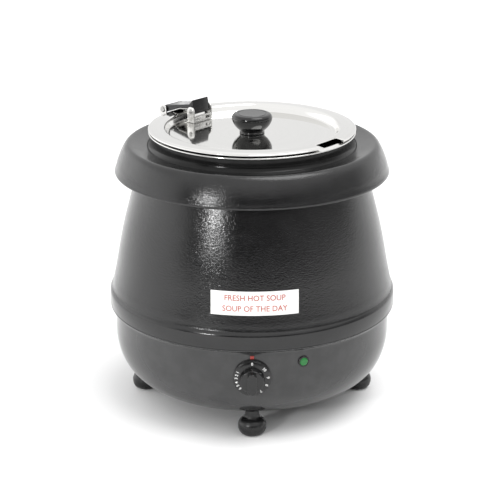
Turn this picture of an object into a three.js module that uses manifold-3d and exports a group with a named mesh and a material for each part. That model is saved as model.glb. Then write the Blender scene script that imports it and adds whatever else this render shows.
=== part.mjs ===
// Soup kettle for a buffet: a painted, double-walled body on four rubber feet, with an electric
// water bath, a lift-out steel pot and a polished lid on a two-pivot hinge.
// Millimetres, +Z up. The origin lies on the body's axis, on the surface that it stands on.
// The dial is at the front, towards -Y.
import * as THREE from "three";
import { mergeVertices } from "three/addons/utils/BufferGeometryUtils.js";
import Module from "manifold-3d";

const wasm = await Module();
wasm.setup();

// ---- Driving dimensions ----
const GAP = 0.3; // left between pieces that touch
const OUTER_SEGMENTS = 36; // round the painted shells and the lid
const INNER_SEGMENTS = 32; // round the pot, the well and the heater
const SMALL_SEGMENTS = 10; // round screws, pins and bosses

const SHEET = 1.5; // painted casing sheet
const BOWL_RADIUS = 165.4;
const BOWL_FLOOR = 23; // underside of the bowl above the ground
const BOWL_FLAT_RADIUS = 106;
const BOWL_FLARE = 111.5; // where the wall starts to spread to the belt
const BELT_RADIUS = 171.5;
const BELT_BOTTOM = 120;
const BELT_TOP = 135;
const SHELL_TOP = 310.4;
const SHELL_TOP_RADIUS = 131.2;
const COLLAR_LIP_RADIUS = 162.2;
const COLLAR_LIP_HEIGHT = 281.6;
const COLLAR_CREST_HEIGHT = 315.9;
const COLLAR_BORE = 123.4;
const NECK_TOP = 329.5;
const NECK_TOP_RADIUS = 119.8;
const NECK_BORE = 117.9;
const NECK_FOOT_RADIUS = 129;

const WELL_RADIUS = 117.4;
const WELL_FLOOR = 67.3;
const WELL_FLANGE = 304.9; // underside of the flange
const WELL_SHEET = 1.2;

const POT_RADIUS = 113.2;
const POT_FLOOR = 79.5;
const POT_RIM_TOP = 331;
const POT_RIM_UNDERSIDE = 329.8; // rests just above the neck ring
const POT_RIM_RADIUS = 121.8;
const POT_SHEET = 1.2;
const POT_CORNER = 16;

const LID_RADIUS = 122;
const LID_LIP = 331.5; // lower edge of the turned-down lip
const LID_PANEL = 325.3; // top of the sunk middle
const LID_PANEL_RADIUS = 96;
const LID_CREST_RADIUS = 104.5;
const LID_CREST = 334.2;
const LID_SHEET = 1.2;
const NOTCH_WIDTH = 38;
const NOTCH_START = 108; // distance of the notch's inner edge from the axis

const HINGE_AZIMUTH = THREE.MathUtils.degToRad(138.6);
const NOTCH_AZIMUTH = THREE.MathUtils.degToRad(-40);
const OUTER_PIVOT = new THREE.Vector2(130.5, 334.5);
const INNER_PIVOT = new THREE.Vector2(84, 339.4);
const EAR_RADIUS = 5.5;
const OUTER_PIN_RADIUS = 2.5;
const INNER_PIN_RADIUS = 2;
const PIN_CLEARANCE = 0.35;
const ARM_HALF_WIDTH = 13.6;
const EAR_SHEET = 1.6;
const RIM_EAR_INSIDE = 14.4;
const LID_EAR_INSIDE = 14.4;
const RIVET_OFFSET = 8; // from the hinge's middle plane
const RIM_WEB = 123.3; // the rim bracket's back plate, from the axis
const RIM_WEB_HEIGHT = 327;

const KNOB_RADIUS = 23.8;
const KNOB_TOP = 349;

const SCREW_RADIUS = 2.5; // studs, foot screws and the knob's screw
const SCREW_HOLE = 2.9;
const NUT_HEIGHT = 4.2;
const RIVET_RADIUS = 1.5;
const FOOT_PITCH = 131;
const FOOT_RADIUS = 16.5;
const FOOT_COUNT = 4;
const STUD_PITCH = 100;
const STUD_COUNT = 3;
const NECK_SCREW_PITCH = 125.6;
const NECK_SCREW_COUNT = 4;

const DIAL_HEIGHT = 85;
const DIAL_RADIUS = 21.8;
const DIAL_FACE = 166; // back of the dial's skirt, from the axis
const DIAL_DEPTH = 22;
const SPINDLE_RADIUS = 3;
const LAMP_AZIMUTH = THREE.MathUtils.degToRad(-69.5);
const LAMP_HEIGHT = 100.6;
const GLAND_HEIGHT = 72;
const LABEL_WIDTH = 100;
const LABEL_CENTRE = 3;
const LABEL_BOTTOM = 160;
const LABEL_TOP = 186.5;

// ---- Finishes ----
function finish(colour, roughness, metalness) {
  return new THREE.MeshStandardMaterial({ color: colour, roughness, metalness });
}
const PAINT = finish(0x2b2b2c, 0.35, 0.3);
const BOWL_PAINT = finish(0x3a3a3b, 0.4, 0.3);
const BLACK_PLASTIC = finish(0x101011, 0.3, 0);
const DARK_PLASTIC = finish(0x1b1b1c, 0.45, 0);
const RUBBER = finish(0x141414, 0.8, 0);
const POLISHED_STEEL = finish(0xd8d8d6, 0.08, 1);
const BRUSHED_STEEL = finish(0xb9b9b7, 0.3, 1);
const ZINC_STEEL = finish(0xa9abab, 0.4, 1);
const ALUMINIUM = finish(0xc4c6c8, 0.45, 1);
const COPPER = finish(0xb87448, 0.35, 1);
const WHITE_LABEL = finish(0xf2f1ec, 0.5, 0);
const RED_PRINT = finish(0xb02a20, 0.5, 0);
const GREEN_LENS = finish(0x1fa83c, 0.15, 0);
const CERAMIC = finish(0xe6e2d6, 0.7, 0);

// ---- Geometry helpers ----
const at = (x, y) => new THREE.Vector2(x, y);

// Points on an arc about (x, y), from one angle to another in degrees.
function arc(x, y, radius, from, to, steps) {
  return Array.from({ length: steps + 1 }, (_, i) => {
    const angle = THREE.MathUtils.degToRad(from + ((to - from) * i) / steps);
    return at(x + radius * Math.cos(angle), y + radius * Math.sin(angle));
  });
}

// A strip of sheet: an outline and its copy set back to the left by the thickness.
function sheet(outline, thickness) {
  const back = outline.map((point, i) => {
    const before = outline[Math.max(i - 1, 0)];
    const after = outline[Math.min(i + 1, outline.length - 1)];
    const along = after.clone().sub(before).normalize();
    return at(point.x - along.y * thickness, point.y + along.x * thickness);
  });
  return [...outline, ...back.reverse()];
}

// A closed profile in (radius, height), turned about the Z axis.
function turned(profile, segments) {
  const counterclockwise = !THREE.ShapeUtils.isClockWise(profile);
  const ordered = counterclockwise ? [...profile] : [...profile].reverse();
  const first = ordered[0];
  const last = ordered[ordered.length - 1];
  const onAxis = first.x === 0 && last.x === 0;
  if (!onAxis) ordered.push(first.clone());
  return new THREE.LatheGeometry(ordered, segments).rotateX(Math.PI / 2);
}

// An outline in the (x, z) plane, given a width along Y about a centre.
function plate(outline, width, centre = 0) {
  const options = { depth: width, bevelEnabled: false };
  return new THREE.ExtrudeGeometry(new THREE.Shape(outline), options)
    .rotateX(Math.PI / 2)
    .translate(0, centre + width / 2, 0);
}

function box(x, y, z, centreX, centreY, centreZ) {
  return new THREE.BoxGeometry(x, y, z).translate(centreX, centreY, centreZ);
}

// A cylinder along Z between two heights.
function rod(radius, bottom, top, segments = SMALL_SEGMENTS) {
  return new THREE.CylinderGeometry(radius, radius, top - bottom, segments)
    .rotateX(Math.PI / 2)
    .translate(0, 0, (bottom + top) / 2);
}

// A cylinder along Y, centred on the XZ plane.
function crossRod(radius, length, x, z, segments = SMALL_SEGMENTS) {
  return new THREE.CylinderGeometry(radius, radius, length, segments).translate(x, 0, z);
}

function tube(points, radius, steps, sides = 8) {
  const section = new THREE.Shape(arc(0, 0, radius, 0, 360 - 360 / sides, sides - 1));
  const extrudePath = new THREE.CatmullRomCurve3(points.map((p) => new THREE.Vector3(...p)));
  return new THREE.ExtrudeGeometry(section, { steps, extrudePath, bevelEnabled: false });
}

function solid(geometry) {
  const bare = new THREE.BufferGeometry();
  bare.setAttribute("position", geometry.getAttribute("position"));
  if (geometry.index) bare.setIndex(geometry.index);
  const merged = mergeVertices(bare, 1e-4);
  return new wasm.Manifold(
    new wasm.Mesh({
      numProp: 3,
      vertProperties: new Float32Array(merged.attributes.position.array),
      triVerts: new Uint32Array(merged.index.array),
    }),
  );
}

function geometryOf(manifold) {
  const mesh = manifold.getMesh();
  const geometry = new THREE.BufferGeometry();
  geometry.setAttribute("position", new THREE.BufferAttribute(mesh.vertProperties, mesh.numProp));
  geometry.setIndex(new THREE.BufferAttribute(mesh.triVerts, 1));
  const facets = geometry.toNonIndexed();
  facets.computeVertexNormals();
  return facets;
}

function joined(geometries) {
  return geometryOf(geometries.map(solid).reduce((whole, piece) => whole.add(piece)));
}

function cut(geometry, cutters) {
  const start = solid(geometry);
  return geometryOf(cutters.map(solid).reduce((rest, cutter) => rest.subtract(cutter), start));
}

function common(a, b) {
  return geometryOf(solid(a).intersect(solid(b)));
}

function piece(name, geometry, material) {
  const mesh = new THREE.Mesh(geometry, material);
  mesh.name = name;
  return mesh;
}

// The angles of evenly spaced copies round the axis.
function aroundAxis(count, first) {
  return Array.from({ length: count }, (_, i) => first + (2 * Math.PI * i) / count);
}

function turnedAbout(geometry, angle, radius = 0) {
  return geometry.translate(radius, 0, 0).rotateZ(angle);
}

// A group whose +Z points out from the axis at an azimuth and a height.
function facingOut(azimuth, radius, height) {
  const turn = new THREE.Group();
  const out = new THREE.Group();
  turn.rotation.z = azimuth;
  out.position.set(radius, 0, height);
  out.rotation.y = Math.PI / 2;
  turn.add(out);
  return { turn, out };
}

// ---- Outlines of the casing, each from its lower end upwards ----
const FOOT_AZIMUTHS = aroundAxis(FOOT_COUNT, -Math.PI / 2);
const STUD_AZIMUTHS = aroundAxis(STUD_COUNT, Math.PI / 6);
const NECK_SCREW_AZIMUTHS = aroundAxis(NECK_SCREW_COUNT, Math.PI / 4);

function bowlOutline() {
  const corner = new THREE.CubicBezierCurve(
    at(BOWL_FLAT_RADIUS, BOWL_FLOOR),
    at(146, BOWL_FLOOR),
    at(BOWL_RADIUS, 50),
    at(BOWL_RADIUS, 90),
  );
  return [
    at(0, BOWL_FLOOR),
    ...corner.getPoints(6),
    at(BOWL_RADIUS + 0.2, BOWL_FLARE),
  ];
}

// The bowl's sheet, with a flare that carries the belt and a tongue that stands inside it.
function bowlProfile() {
  const wall = sheet(bowlOutline(), SHEET);
  const seat = BELT_BOTTOM - GAP;
  const tongue = BELT_RADIUS - SHEET - 1;
  const flare = [
    at(BOWL_RADIUS + 1.2, BOWL_FLARE + 3.8),
    at(BOWL_RADIUS + 3.2, BOWL_FLARE + 6),
    at(BELT_RADIUS, seat - 1),
    at(BELT_RADIUS, seat),
    at(tongue, seat),
    at(tongue, seat + 8),
    at(tongue - SHEET, seat + 8),
    at(tongue - SHEET, seat),
    at(BOWL_RADIUS - 0.6, BOWL_FLARE + 4),
  ];
  const top = wall.length / 2;
  return [...wall.slice(0, top), ...flare, ...wall.slice(top)];
}

function shellOutline() {
  return [
    at(BELT_RADIUS, BELT_BOTTOM),
    at(BELT_RADIUS, BELT_TOP),
    at(168.4, 141),
    at(166.8, 149),
    at(162.3, 171),
    at(157.7, 196),
    at(152.5, 221),
    at(142.8, 255),
    at(133.4, 288),
    at(SHELL_TOP_RADIUS, SHELL_TOP),
  ];
}

function collarOutline() {
  return [
    at(COLLAR_LIP_RADIUS, COLLAR_LIP_HEIGHT),
    at(158.8, 294),
    at(151, 311),
    at(146, COLLAR_CREST_HEIGHT),
    at(135, 314.4),
    at(COLLAR_BORE, 312.6),
  ];
}

// The casing wall's radius at a height, along the straight runs of its outline.
function wallRadius(height) {
  const wall = shellOutline();
  const above = wall.findIndex((point) => point.y > height);
  const [low, high] = [wall[above - 1], wall[above]];
  const share = (height - low.y) / (high.y - low.y);
  return THREE.MathUtils.lerp(low.x, high.x, share);
}

// ---- Casing ----
function lowerBowl() {
  const shell = turned(bowlProfile(), OUTER_SEGMENTS);
  const holes = [
    ...FOOT_AZIMUTHS.map((angle) => turnedAbout(rod(SCREW_HOLE, 10, 50, 8), angle, FOOT_PITCH)),
    ...STUD_AZIMUTHS.map((angle) => turnedAbout(rod(SCREW_HOLE, 10, 50, 8), angle, STUD_PITCH)),
    crossRod(SPINDLE_RADIUS + 1, 60, 0, DIAL_HEIGHT).translate(0, -BOWL_RADIUS, 0),
    crossRod(8, 60, 0, GLAND_HEIGHT).translate(0, BOWL_RADIUS, 0),
    turnedAbout(rod(5.2, -30, 30).rotateY(Math.PI / 2), LAMP_AZIMUTH, BOWL_RADIUS)
      .translate(0, 0, LAMP_HEIGHT),
  ];
  return cut(shell, holes);
}

function upperShell() {
  return turned(sheet(shellOutline(), SHEET), OUTER_SEGMENTS);
}

function collar() {
  return turned(sheet(collarOutline(), SHEET), OUTER_SEGMENTS);
}

function neckRing() {
  const profile = [
    at(NECK_BORE, 306.5),
    at(NECK_FOOT_RADIUS, 306.5),
    at(NECK_FOOT_RADIUS, 309.6),
    at(122.8, 309.6),
    at(122.6, 312.6),
    at(121, 316),
    at(NECK_TOP_RADIUS, NECK_TOP - 2),
    at(NECK_TOP_RADIUS - 0.6, NECK_TOP),
    at(NECK_BORE, NECK_TOP),
  ];
  const pilotHoles = NECK_SCREW_AZIMUTHS.map((angle) =>
    turnedAbout(rod(1.9, 300, 309), angle, NECK_SCREW_PITCH),
  );
  return cut(turned(profile, OUTER_SEGMENTS), pilotHoles);
}

function labelPlate() {
  const heights = [LABEL_BOTTOM, 171, LABEL_TOP];
  const band = sheet(heights.map((height) => at(wallRadius(height) + 1, height)), 0.6);
  const window = box(LABEL_WIDTH, 60, 60, LABEL_CENTRE, -BOWL_RADIUS, LABEL_BOTTOM + 15);
  return common(turned(band, OUTER_SEGMENTS), window);
}

function pointerMark() {
  const band = sheet([at(BOWL_RADIUS + 1.1, 107.8), at(BOWL_RADIUS + 1.1, BOWL_FLARE)], 0.5);
  return common(turned(band, OUTER_SEGMENTS), box(4.4, 20, 20, 0, -BOWL_RADIUS, 110));
}

function addCasing(kettle) {
  kettle.add(
    piece("lower_bowl", lowerBowl(), BOWL_PAINT),
    piece("upper_shell", upperShell(), PAINT),
    piece("collar", collar(), PAINT),
    piece("neck_ring", neckRing(), BLACK_PLASTIC),
    piece("label_plate", labelPlate(), WHITE_LABEL),
    piece("pointer_mark", pointerMark(), RED_PRINT),
  );
}

// ---- Feet and their screws ----
function footGeometry(angle) {
  const profile = [
    at(0, 0),
    at(9, 0),
    at(14.6, 3),
    at(FOOT_RADIUS, 11),
    at(14.2, 17.8),
    at(8.4, 21.4),
    at(7.8, 34),
    at(0, 34),
  ];
  const rubber = turnedAbout(turned(profile, 12), angle, FOOT_PITCH);
  const clearBowl = bowlOutline()
    .slice(0, 8)
    .map((point) => at(point.x && point.x + GAP, point.y - GAP));
  const filledBowl = turned([...clearBowl, at(0, 86)], OUTER_SEGMENTS);
  const screwHole = turnedAbout(rod(SCREW_HOLE, 8, 50), angle, FOOT_PITCH);
  return cut(rubber, [filledBowl, screwHole]);
}

function footScrew() {
  return joined([rod(SCREW_RADIUS, 9, 34), rod(5, 33.6, 36.6)]);
}

function addFeet(kettle) {
  FOOT_AZIMUTHS.forEach((angle, i) => {
    const screw = piece(`foot_screw_${i + 1}`, footScrew(), ZINC_STEEL);
    screw.position.set(FOOT_PITCH * Math.cos(angle), FOOT_PITCH * Math.sin(angle), 0);
    kettle.add(piece(`foot_${i + 1}`, footGeometry(angle), RUBBER), screw);
  });
}

// ---- Water bath and heater ----
function waterWell() {
  const inside = WELL_RADIUS - WELL_SHEET;
  const profile = [
    at(0, WELL_FLOOR),
    ...arc(WELL_RADIUS - 12, WELL_FLOOR + 12, 12, -90, 0, 2),
    at(WELL_RADIUS, WELL_FLANGE),
    at(NECK_FOOT_RADIUS, WELL_FLANGE),
    at(NECK_FOOT_RADIUS, WELL_FLANGE + WELL_SHEET),
    at(inside, WELL_FLANGE + WELL_SHEET),
    ...arc(inside - 11, WELL_FLOOR + WELL_SHEET + 11, 11, 0, -90, 2),
    at(0, WELL_FLOOR + WELL_SHEET),
  ];
  const screwHoles = NECK_SCREW_AZIMUTHS.map((angle) =>
    turnedAbout(rod(1.9, 300, 309), angle, NECK_SCREW_PITCH),
  );
  return cut(turned(profile, INNER_SEGMENTS), screwHoles);
}

function heatingElement() {
  const ring = arc(0, 0, 70, -70, 250, 14).map((p) => [p.x, p.y, 57]);
  const tail = (angle) => {
    const [end] = arc(0, 0, 72, angle, angle, 1);
    return [end.x, end.y, 50];
  };
  return tube([tail(-74), ...ring, tail(254)], 4.2, 34, 6);
}

function screwedNut(bottom, height, across) {
  const nut = new THREE.CylinderGeometry(across / Math.sqrt(3), across / Math.sqrt(3), height, 6)
    .rotateX(Math.PI / 2)
    .translate(0, 0, bottom + height / 2);
  return cut(nut, [rod(2.8, bottom - 1, bottom + height + 1)]);
}

function addWaterBath(kettle) {
  const heaterPlate = cut(rod(92, 62.2, 67, INNER_SEGMENTS), [rod(2.8, 60, 70)]);
  const clamp = cut(box(158, 22, 2, 0, 0, 51.4), [rod(2.8, 40, 60)]);
  const shield = cut(rod(108, 40, 41.2, INNER_SEGMENTS), [
    ...STUD_AZIMUTHS.map((angle) => turnedAbout(rod(SCREW_HOLE, 30, 50), angle, STUD_PITCH)),
  ]);
  kettle.add(
    piece("water_well", waterWell(), BRUSHED_STEEL),
    piece("heater_plate", heaterPlate, ALUMINIUM),
    piece("heating_element", heatingElement(), BRUSHED_STEEL),
    piece("element_clamp", clamp, ZINC_STEEL),
    piece("centre_stud", rod(SCREW_RADIUS, 44, 67), ZINC_STEEL),
    piece("clamp_nut", screwedNut(45.6, NUT_HEIGHT, 8), ZINC_STEEL),
    piece("heat_shield", shield, ALUMINIUM),
  );
  STUD_AZIMUTHS.forEach((angle, i) => {
    const stud = piece(`tie_stud_${i + 1}`, rod(SCREW_RADIUS, BOWL_FLOOR - 3.8, 67), ZINC_STEEL);
    const baseNut = screwedNut(BOWL_FLOOR - NUT_HEIGHT - 0.4, NUT_HEIGHT, 8);
    const nut = piece(`base_nut_${i + 1}`, baseNut, ZINC_STEEL);
    for (const part of [stud, nut]) {
      part.position.set(STUD_PITCH * Math.cos(angle), STUD_PITCH * Math.sin(angle), 0);
      kettle.add(part);
    }
  });
  NECK_SCREW_AZIMUTHS.forEach((angle, i) => {
    const screw = joined([rod(1.5, 304, 308.6), rod(3, 302.2, 304.5)]);
    const part = piece(`neck_screw_${i + 1}`, screw, ZINC_STEEL);
    part.position.set(NECK_SCREW_PITCH * Math.cos(angle), NECK_SCREW_PITCH * Math.sin(angle), 0);
    kettle.add(part);
  });
}

// ---- Electrics ----
function thermostatBody() {
  const housing = box(40, 32, 30, 0, -143.4, DIAL_HEIGHT);
  return joined([housing, box(24, 6, 8, 0, -126, DIAL_HEIGHT - 6)]);
}

function capillary() {
  return tube(
    [
      [8, -121.6, 79],
      [15, -120, 66],
      [21, -108, 52],
      [24, -84, 46.6],
      [24, -66, 46.8],
      [24, -58.4, 51],
      [24, -55.6, 56.6],
    ],
    1.1,
    16,
    6,
  );
}

function cableGland() {
  const collarNut = new THREE.CylinderGeometry(12, 12, 7, 6);
  const domedNut = new THREE.CylinderGeometry(11, 8.5, 15.6, SMALL_SEGMENTS);
  const body = joined([
    crossRod(7.6, 24, 0, 0).translate(0, 158, 0),
    collarNut.translate(0, 169, 0),
    domedNut.rotateX(Math.PI).translate(0, 180.2, 0),
  ]);
  return cut(body, [crossRod(4.5, 60, 0, 0).translate(0, 165, 0)]).translate(0, 0, GLAND_HEIGHT);
}

function glandNut() {
  const nut = new THREE.CylinderGeometry(12.5, 12.5, 5, 6).translate(0, 154.4, 0);
  const bore = crossRod(7.9, 20, 0, 0).translate(0, 154.4, 0);
  return cut(nut, [bore]).translate(0, 0, GLAND_HEIGHT);
}

function terminalBlock() {
  const slots = [-10, 0, 10].map((x) => box(6, 30, 6, x, 92, 38));
  return cut(box(36, 20, 13, 0, 92, 31.4), slots);
}

function addElectrics(kettle) {
  const safetyCutout = joined([rod(8, 52, 61.6), rod(10.5, 59.6, 61.8)]);
  kettle.add(
    piece("thermostat_body", thermostatBody(), DARK_PLASTIC),
    piece("capillary_tube", capillary(), COPPER),
    piece("sensor_bulb", rod(3, -24, 24).rotateX(Math.PI / 2).translate(24, -30, 57.6), COPPER),
    piece("safety_cutout", safetyCutout.translate(-28, 28, 0), CERAMIC),
    piece("terminal_block", terminalBlock(), CERAMIC),
    piece("cable_gland", cableGland(), BLACK_PLASTIC),
    piece("gland_nut", glandNut(), BLACK_PLASTIC),
  );
  const lamp = facingOut(LAMP_AZIMUTH, BOWL_RADIUS, LAMP_HEIGHT);
  const bezel = cut(rod(6.6, 0.5, 2, 24), [rod(5, -1, 3, 24)]);
  const lensProfile = [at(0, -2), at(4.6, -2), at(4.6, 1.8), at(3.6, 3.2), at(0, 3.9)];
  lamp.out.add(
    piece("pilot_bezel", bezel, BLACK_PLASTIC),
    piece("pilot_lens", turned(lensProfile, 24), GREEN_LENS),
    piece("pilot_lamp_body", rod(4.6, -26, -2.4), DARK_PLASTIC),
  );
  kettle.add(lamp.turn);
}

// ---- Temperature dial ----
function dialKnob() {
  const profile = [
    at(0, 0),
    at(DIAL_RADIUS, 0),
    at(DIAL_RADIUS, 1.6),
    at(DIAL_RADIUS - 1.2, 3.2),
    at(14, 4.6),
    at(13, DIAL_DEPTH - 1.4),
    at(11.6, DIAL_DEPTH),
    at(0, DIAL_DEPTH),
  ];
  return cut(turned(profile, 32), [rod(SPINDLE_RADIUS + GAP, -1, 10.4)]);
}

function addDial(kettle) {
  const front = new THREE.Group();
  front.position.set(0, -DIAL_FACE, DIAL_HEIGHT);
  front.rotation.x = Math.PI / 2;
  front.add(
    piece("dial_knob", dialKnob(), BLACK_PLASTIC),
    piece("dial_spindle", rod(SPINDLE_RADIUS, -6.2, 10), ZINC_STEEL),
  );
  kettle.add(front);
}

// ---- Lift-out pot ----
function innerPot() {
  const inside = POT_RADIUS - POT_SHEET;
  const corner = POT_CORNER - POT_SHEET;
  const profile = [
    at(0, POT_FLOOR),
    ...arc(POT_RADIUS - POT_CORNER, POT_FLOOR + POT_CORNER, POT_CORNER, -90, 0, 3),
    at(POT_RADIUS, POT_RIM_UNDERSIDE - 4.4),
    at(115.4, POT_RIM_UNDERSIDE),
    at(POT_RIM_RADIUS - POT_SHEET, POT_RIM_UNDERSIDE),
    at(POT_RIM_RADIUS - POT_SHEET, POT_RIM_UNDERSIDE - 2),
    at(POT_RIM_RADIUS, POT_RIM_UNDERSIDE - 2),
    at(POT_RIM_RADIUS, POT_RIM_TOP - 0.6),
    at(POT_RIM_RADIUS - 0.6, POT_RIM_TOP),
    at(114.4, POT_RIM_TOP),
    at(inside, POT_RIM_TOP - 5.2),
    ...arc(inside - corner, POT_FLOOR + POT_CORNER, corner, 0, -90, 3),
    at(0, POT_FLOOR + POT_SHEET),
  ];
  return turned(profile, OUTER_SEGMENTS);
}

// ---- Lid ----
function lidPanel() {
  const top = [
    at(LID_RADIUS, LID_LIP),
    at(LID_RADIUS - 0.3, 332.7),
    at(120, 333.3),
    at(LID_CREST_RADIUS + 1.4, LID_CREST),
    at(LID_CREST_RADIUS - 1.2, LID_CREST - 0.1),
    at(101.4, 332.4),
    at(98.6, 326.6),
    at(LID_PANEL_RADIUS, LID_PANEL),
    at(0, LID_PANEL),
  ];
  const spinning = turned(sheet(top, LID_SHEET), OUTER_SEGMENTS);
  const notch = box(40, NOTCH_WIDTH, 30, NOTCH_START + 20, 0, LID_CREST);
  const rivetHoles = lidRivetPlaces().map(([x, y]) => rod(2.2, 320, 335).translate(x, y, 0));
  return cut(spinning, [
    notch.rotateZ(NOTCH_AZIMUTH),
    rod(SCREW_HOLE, 320, 335),
    ...rivetHoles.map((hole) => hole.rotateZ(HINGE_AZIMUTH)),
  ]);
}

function lidKnob() {
  const profile = [
    at(0, LID_PANEL + GAP),
    at(14.8, LID_PANEL + GAP),
    at(14.8, 328.8),
    at(18.5, 332.4),
    at(21.3, 335.8),
    at(KNOB_RADIUS - 0.5, 340.4),
    at(KNOB_RADIUS, 344.6),
    at(23, 346.8),
    at(19.6, KNOB_TOP),
    at(0, KNOB_TOP),
  ];
  return cut(turned(profile, 32), [rod(SCREW_HOLE, 320, 341)]);
}

// ---- Hinge, drawn with X pointing out from the axis and Y along the pins ----
function lidRivetPlaces() {
  return [
    [90.4, -RIVET_OFFSET],
    [90.4, RIVET_OFFSET],
  ];
}

// A pair of like ears, one on each side of the hinge's middle plane.
function ears(outline, inside) {
  const middle = inside + EAR_SHEET / 2;
  return [-middle, middle].map((centre) => plate(outline, EAR_SHEET, centre));
}

function rimBracket() {
  const { x, y } = OUTER_PIVOT;
  const ear = [
    at(RIM_WEB - 0.7, RIM_WEB_HEIGHT - 3.5),
    at(RIM_WEB + 8.2, RIM_WEB_HEIGHT - 3.5),
    at(x + EAR_RADIUS, RIM_WEB_HEIGHT + 0.5),
    ...arc(x, y, EAR_RADIUS, 0, 180, 8),
    at(x - EAR_RADIUS, RIM_WEB_HEIGHT + 3.6),
    at(RIM_WEB - 0.7, RIM_WEB_HEIGHT + 3.2),
  ];
  const halfWidth = RIM_EAR_INSIDE + EAR_SHEET;
  const web = box(1.4, 2 * halfWidth, 7, RIM_WEB, 0, RIM_WEB_HEIGHT);
  const rivetHoles = [-RIVET_OFFSET, RIVET_OFFSET].map((side) => rivetHole(side));
  return cut(joined([web, ...ears(ear, RIM_EAR_INSIDE)]), [
    crossRod(OUTER_PIN_RADIUS + PIN_CLEARANCE, 60, x, y),
    ...rivetHoles,
  ]);
}

function rivetHole(side) {
  return rod(1.8, -10, 10).rotateY(Math.PI / 2).translate(RIM_WEB, side, RIM_WEB_HEIGHT);
}

function rimRivet(side) {
  const rivet = joined([rod(RIVET_RADIUS, -1, 1.4), rod(2.8, 1, 2.5)]);
  return rivet.rotateY(Math.PI / 2).translate(RIM_WEB, side, RIM_WEB_HEIGHT);
}

function hingeArm() {
  const { x, y } = OUTER_PIVOT;
  const outline = [
    ...arc(x, y, 4.5, 100, -100, 9),
    at(125.6, 332),
    at(105.6, 339.9),
    at(91.4, 341.9),
    at(88.2, 335.7),
    at(81, 335.7),
    at(79.8, 337.2),
    at(83.2, 353.2),
    at(88.8, 347.2),
  ];
  return cut(plate(outline, 2 * ARM_HALF_WIDTH), [
    crossRod(OUTER_PIN_RADIUS + PIN_CLEARANCE, 60, x, y),
    crossRod(INNER_PIN_RADIUS + PIN_CLEARANCE, 60, INNER_PIVOT.x, INNER_PIVOT.y),
  ]);
}

function hingeStrip() {
  const top = [at(117, 334.7), at(105.7, 339.4), at(91.9, 341.4)];
  return plate(sheet(top, 0.8), 2 * ARM_HALF_WIDTH - 2);
}

function lidBracket() {
  const { x, y } = INNER_PIVOT;
  const base = LID_PANEL + GAP;
  const ear = [
    at(x - EAR_RADIUS, base),
    at(x + EAR_RADIUS, base),
    ...arc(x, y, EAR_RADIUS, 0, 180, 8),
  ];
  const width = 2 * (LID_EAR_INSIDE + EAR_SHEET);
  const foot = box(16.1, width, 1.4, 86.55, 0, base + 0.7);
  const web = box(1.4, width, 8.4, 79.2, 0, base + 4.2);
  const slot = box(6, 7, 2.4, 79.2, -8, base + 4.4);
  return cut(joined([foot, web, ...ears(ear, LID_EAR_INSIDE)]), [
    crossRod(INNER_PIN_RADIUS + PIN_CLEARANCE, 60, x, y),
    ...lidRivetPlaces().map(([px, py]) => rod(2.2, 320, 335).translate(px, py, 0)),
    slot,
  ]);
}

function lidRivet() {
  const base = LID_PANEL + GAP + 1.4;
  return joined([rod(1.8, LID_PANEL - 2.6, base + 1), rod(3.4, base + GAP, base + 1.9)]);
}

function addLidAndHinge(kettle) {
  const hinge = new THREE.Group();
  hinge.rotation.z = HINGE_AZIMUTH;
  const outerPin = crossRod(OUTER_PIN_RADIUS, 2 * (RIM_EAR_INSIDE + EAR_SHEET) + 2.4, 0, 0);
  const innerPin = crossRod(INNER_PIN_RADIUS, 2 * (LID_EAR_INSIDE + EAR_SHEET) + 2, 0, 0);
  hinge.add(
    piece("rim_bracket", rimBracket(), BRUSHED_STEEL),
    piece("rim_rivet_1", rimRivet(-RIVET_OFFSET), ZINC_STEEL),
    piece("rim_rivet_2", rimRivet(RIVET_OFFSET), ZINC_STEEL),
    piece("outer_hinge_pin", outerPin.translate(OUTER_PIVOT.x, 0, OUTER_PIVOT.y), BRUSHED_STEEL),
    piece("hinge_arm", hingeArm(), BLACK_PLASTIC),
    piece("hinge_strip", hingeStrip(), BRUSHED_STEEL),
    piece("inner_hinge_pin", innerPin.translate(INNER_PIVOT.x, 0, INNER_PIVOT.y), BRUSHED_STEEL),
    piece("lid_bracket", lidBracket(), BRUSHED_STEEL),
  );
  lidRivetPlaces().forEach(([x, y], i) => {
    const rivet = piece(`lid_rivet_${i + 1}`, lidRivet(), ZINC_STEEL);
    rivet.position.set(x, y, 0);
    hinge.add(rivet);
  });
  const underPanel = LID_PANEL - LID_SHEET - GAP;
  const knobScrew = joined([
    rod(SCREW_RADIUS, underPanel - 1, KNOB_TOP - 8.4),
    rod(4.5, underPanel - 2.6, underPanel - 0.1),
  ]);
  kettle.add(
    hinge,
    piece("lid_panel", lidPanel(), POLISHED_STEEL),
    piece("lid_knob", lidKnob(), BLACK_PLASTIC),
    piece("knob_screw", knobScrew, ZINC_STEEL),
  );
}

// ---- Assembly ----
const kettle = new THREE.Group();
addCasing(kettle);
addFeet(kettle);
addWaterBath(kettle);
addElectrics(kettle);
addDial(kettle);
kettle.add(piece("inner_pot", innerPot(), BRUSHED_STEEL));
addLidAndHinge(kettle);

export default kettle;
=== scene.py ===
"""The looks of an electric soup kettle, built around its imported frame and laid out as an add-on."""

import math

import bmesh
import bpy
from bpy.props import FloatProperty, FloatVectorProperty, IntProperty, PointerProperty, StringProperty
from mathutils import Matrix, Vector
from mathutils.geometry import interpolate_bezier


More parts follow.
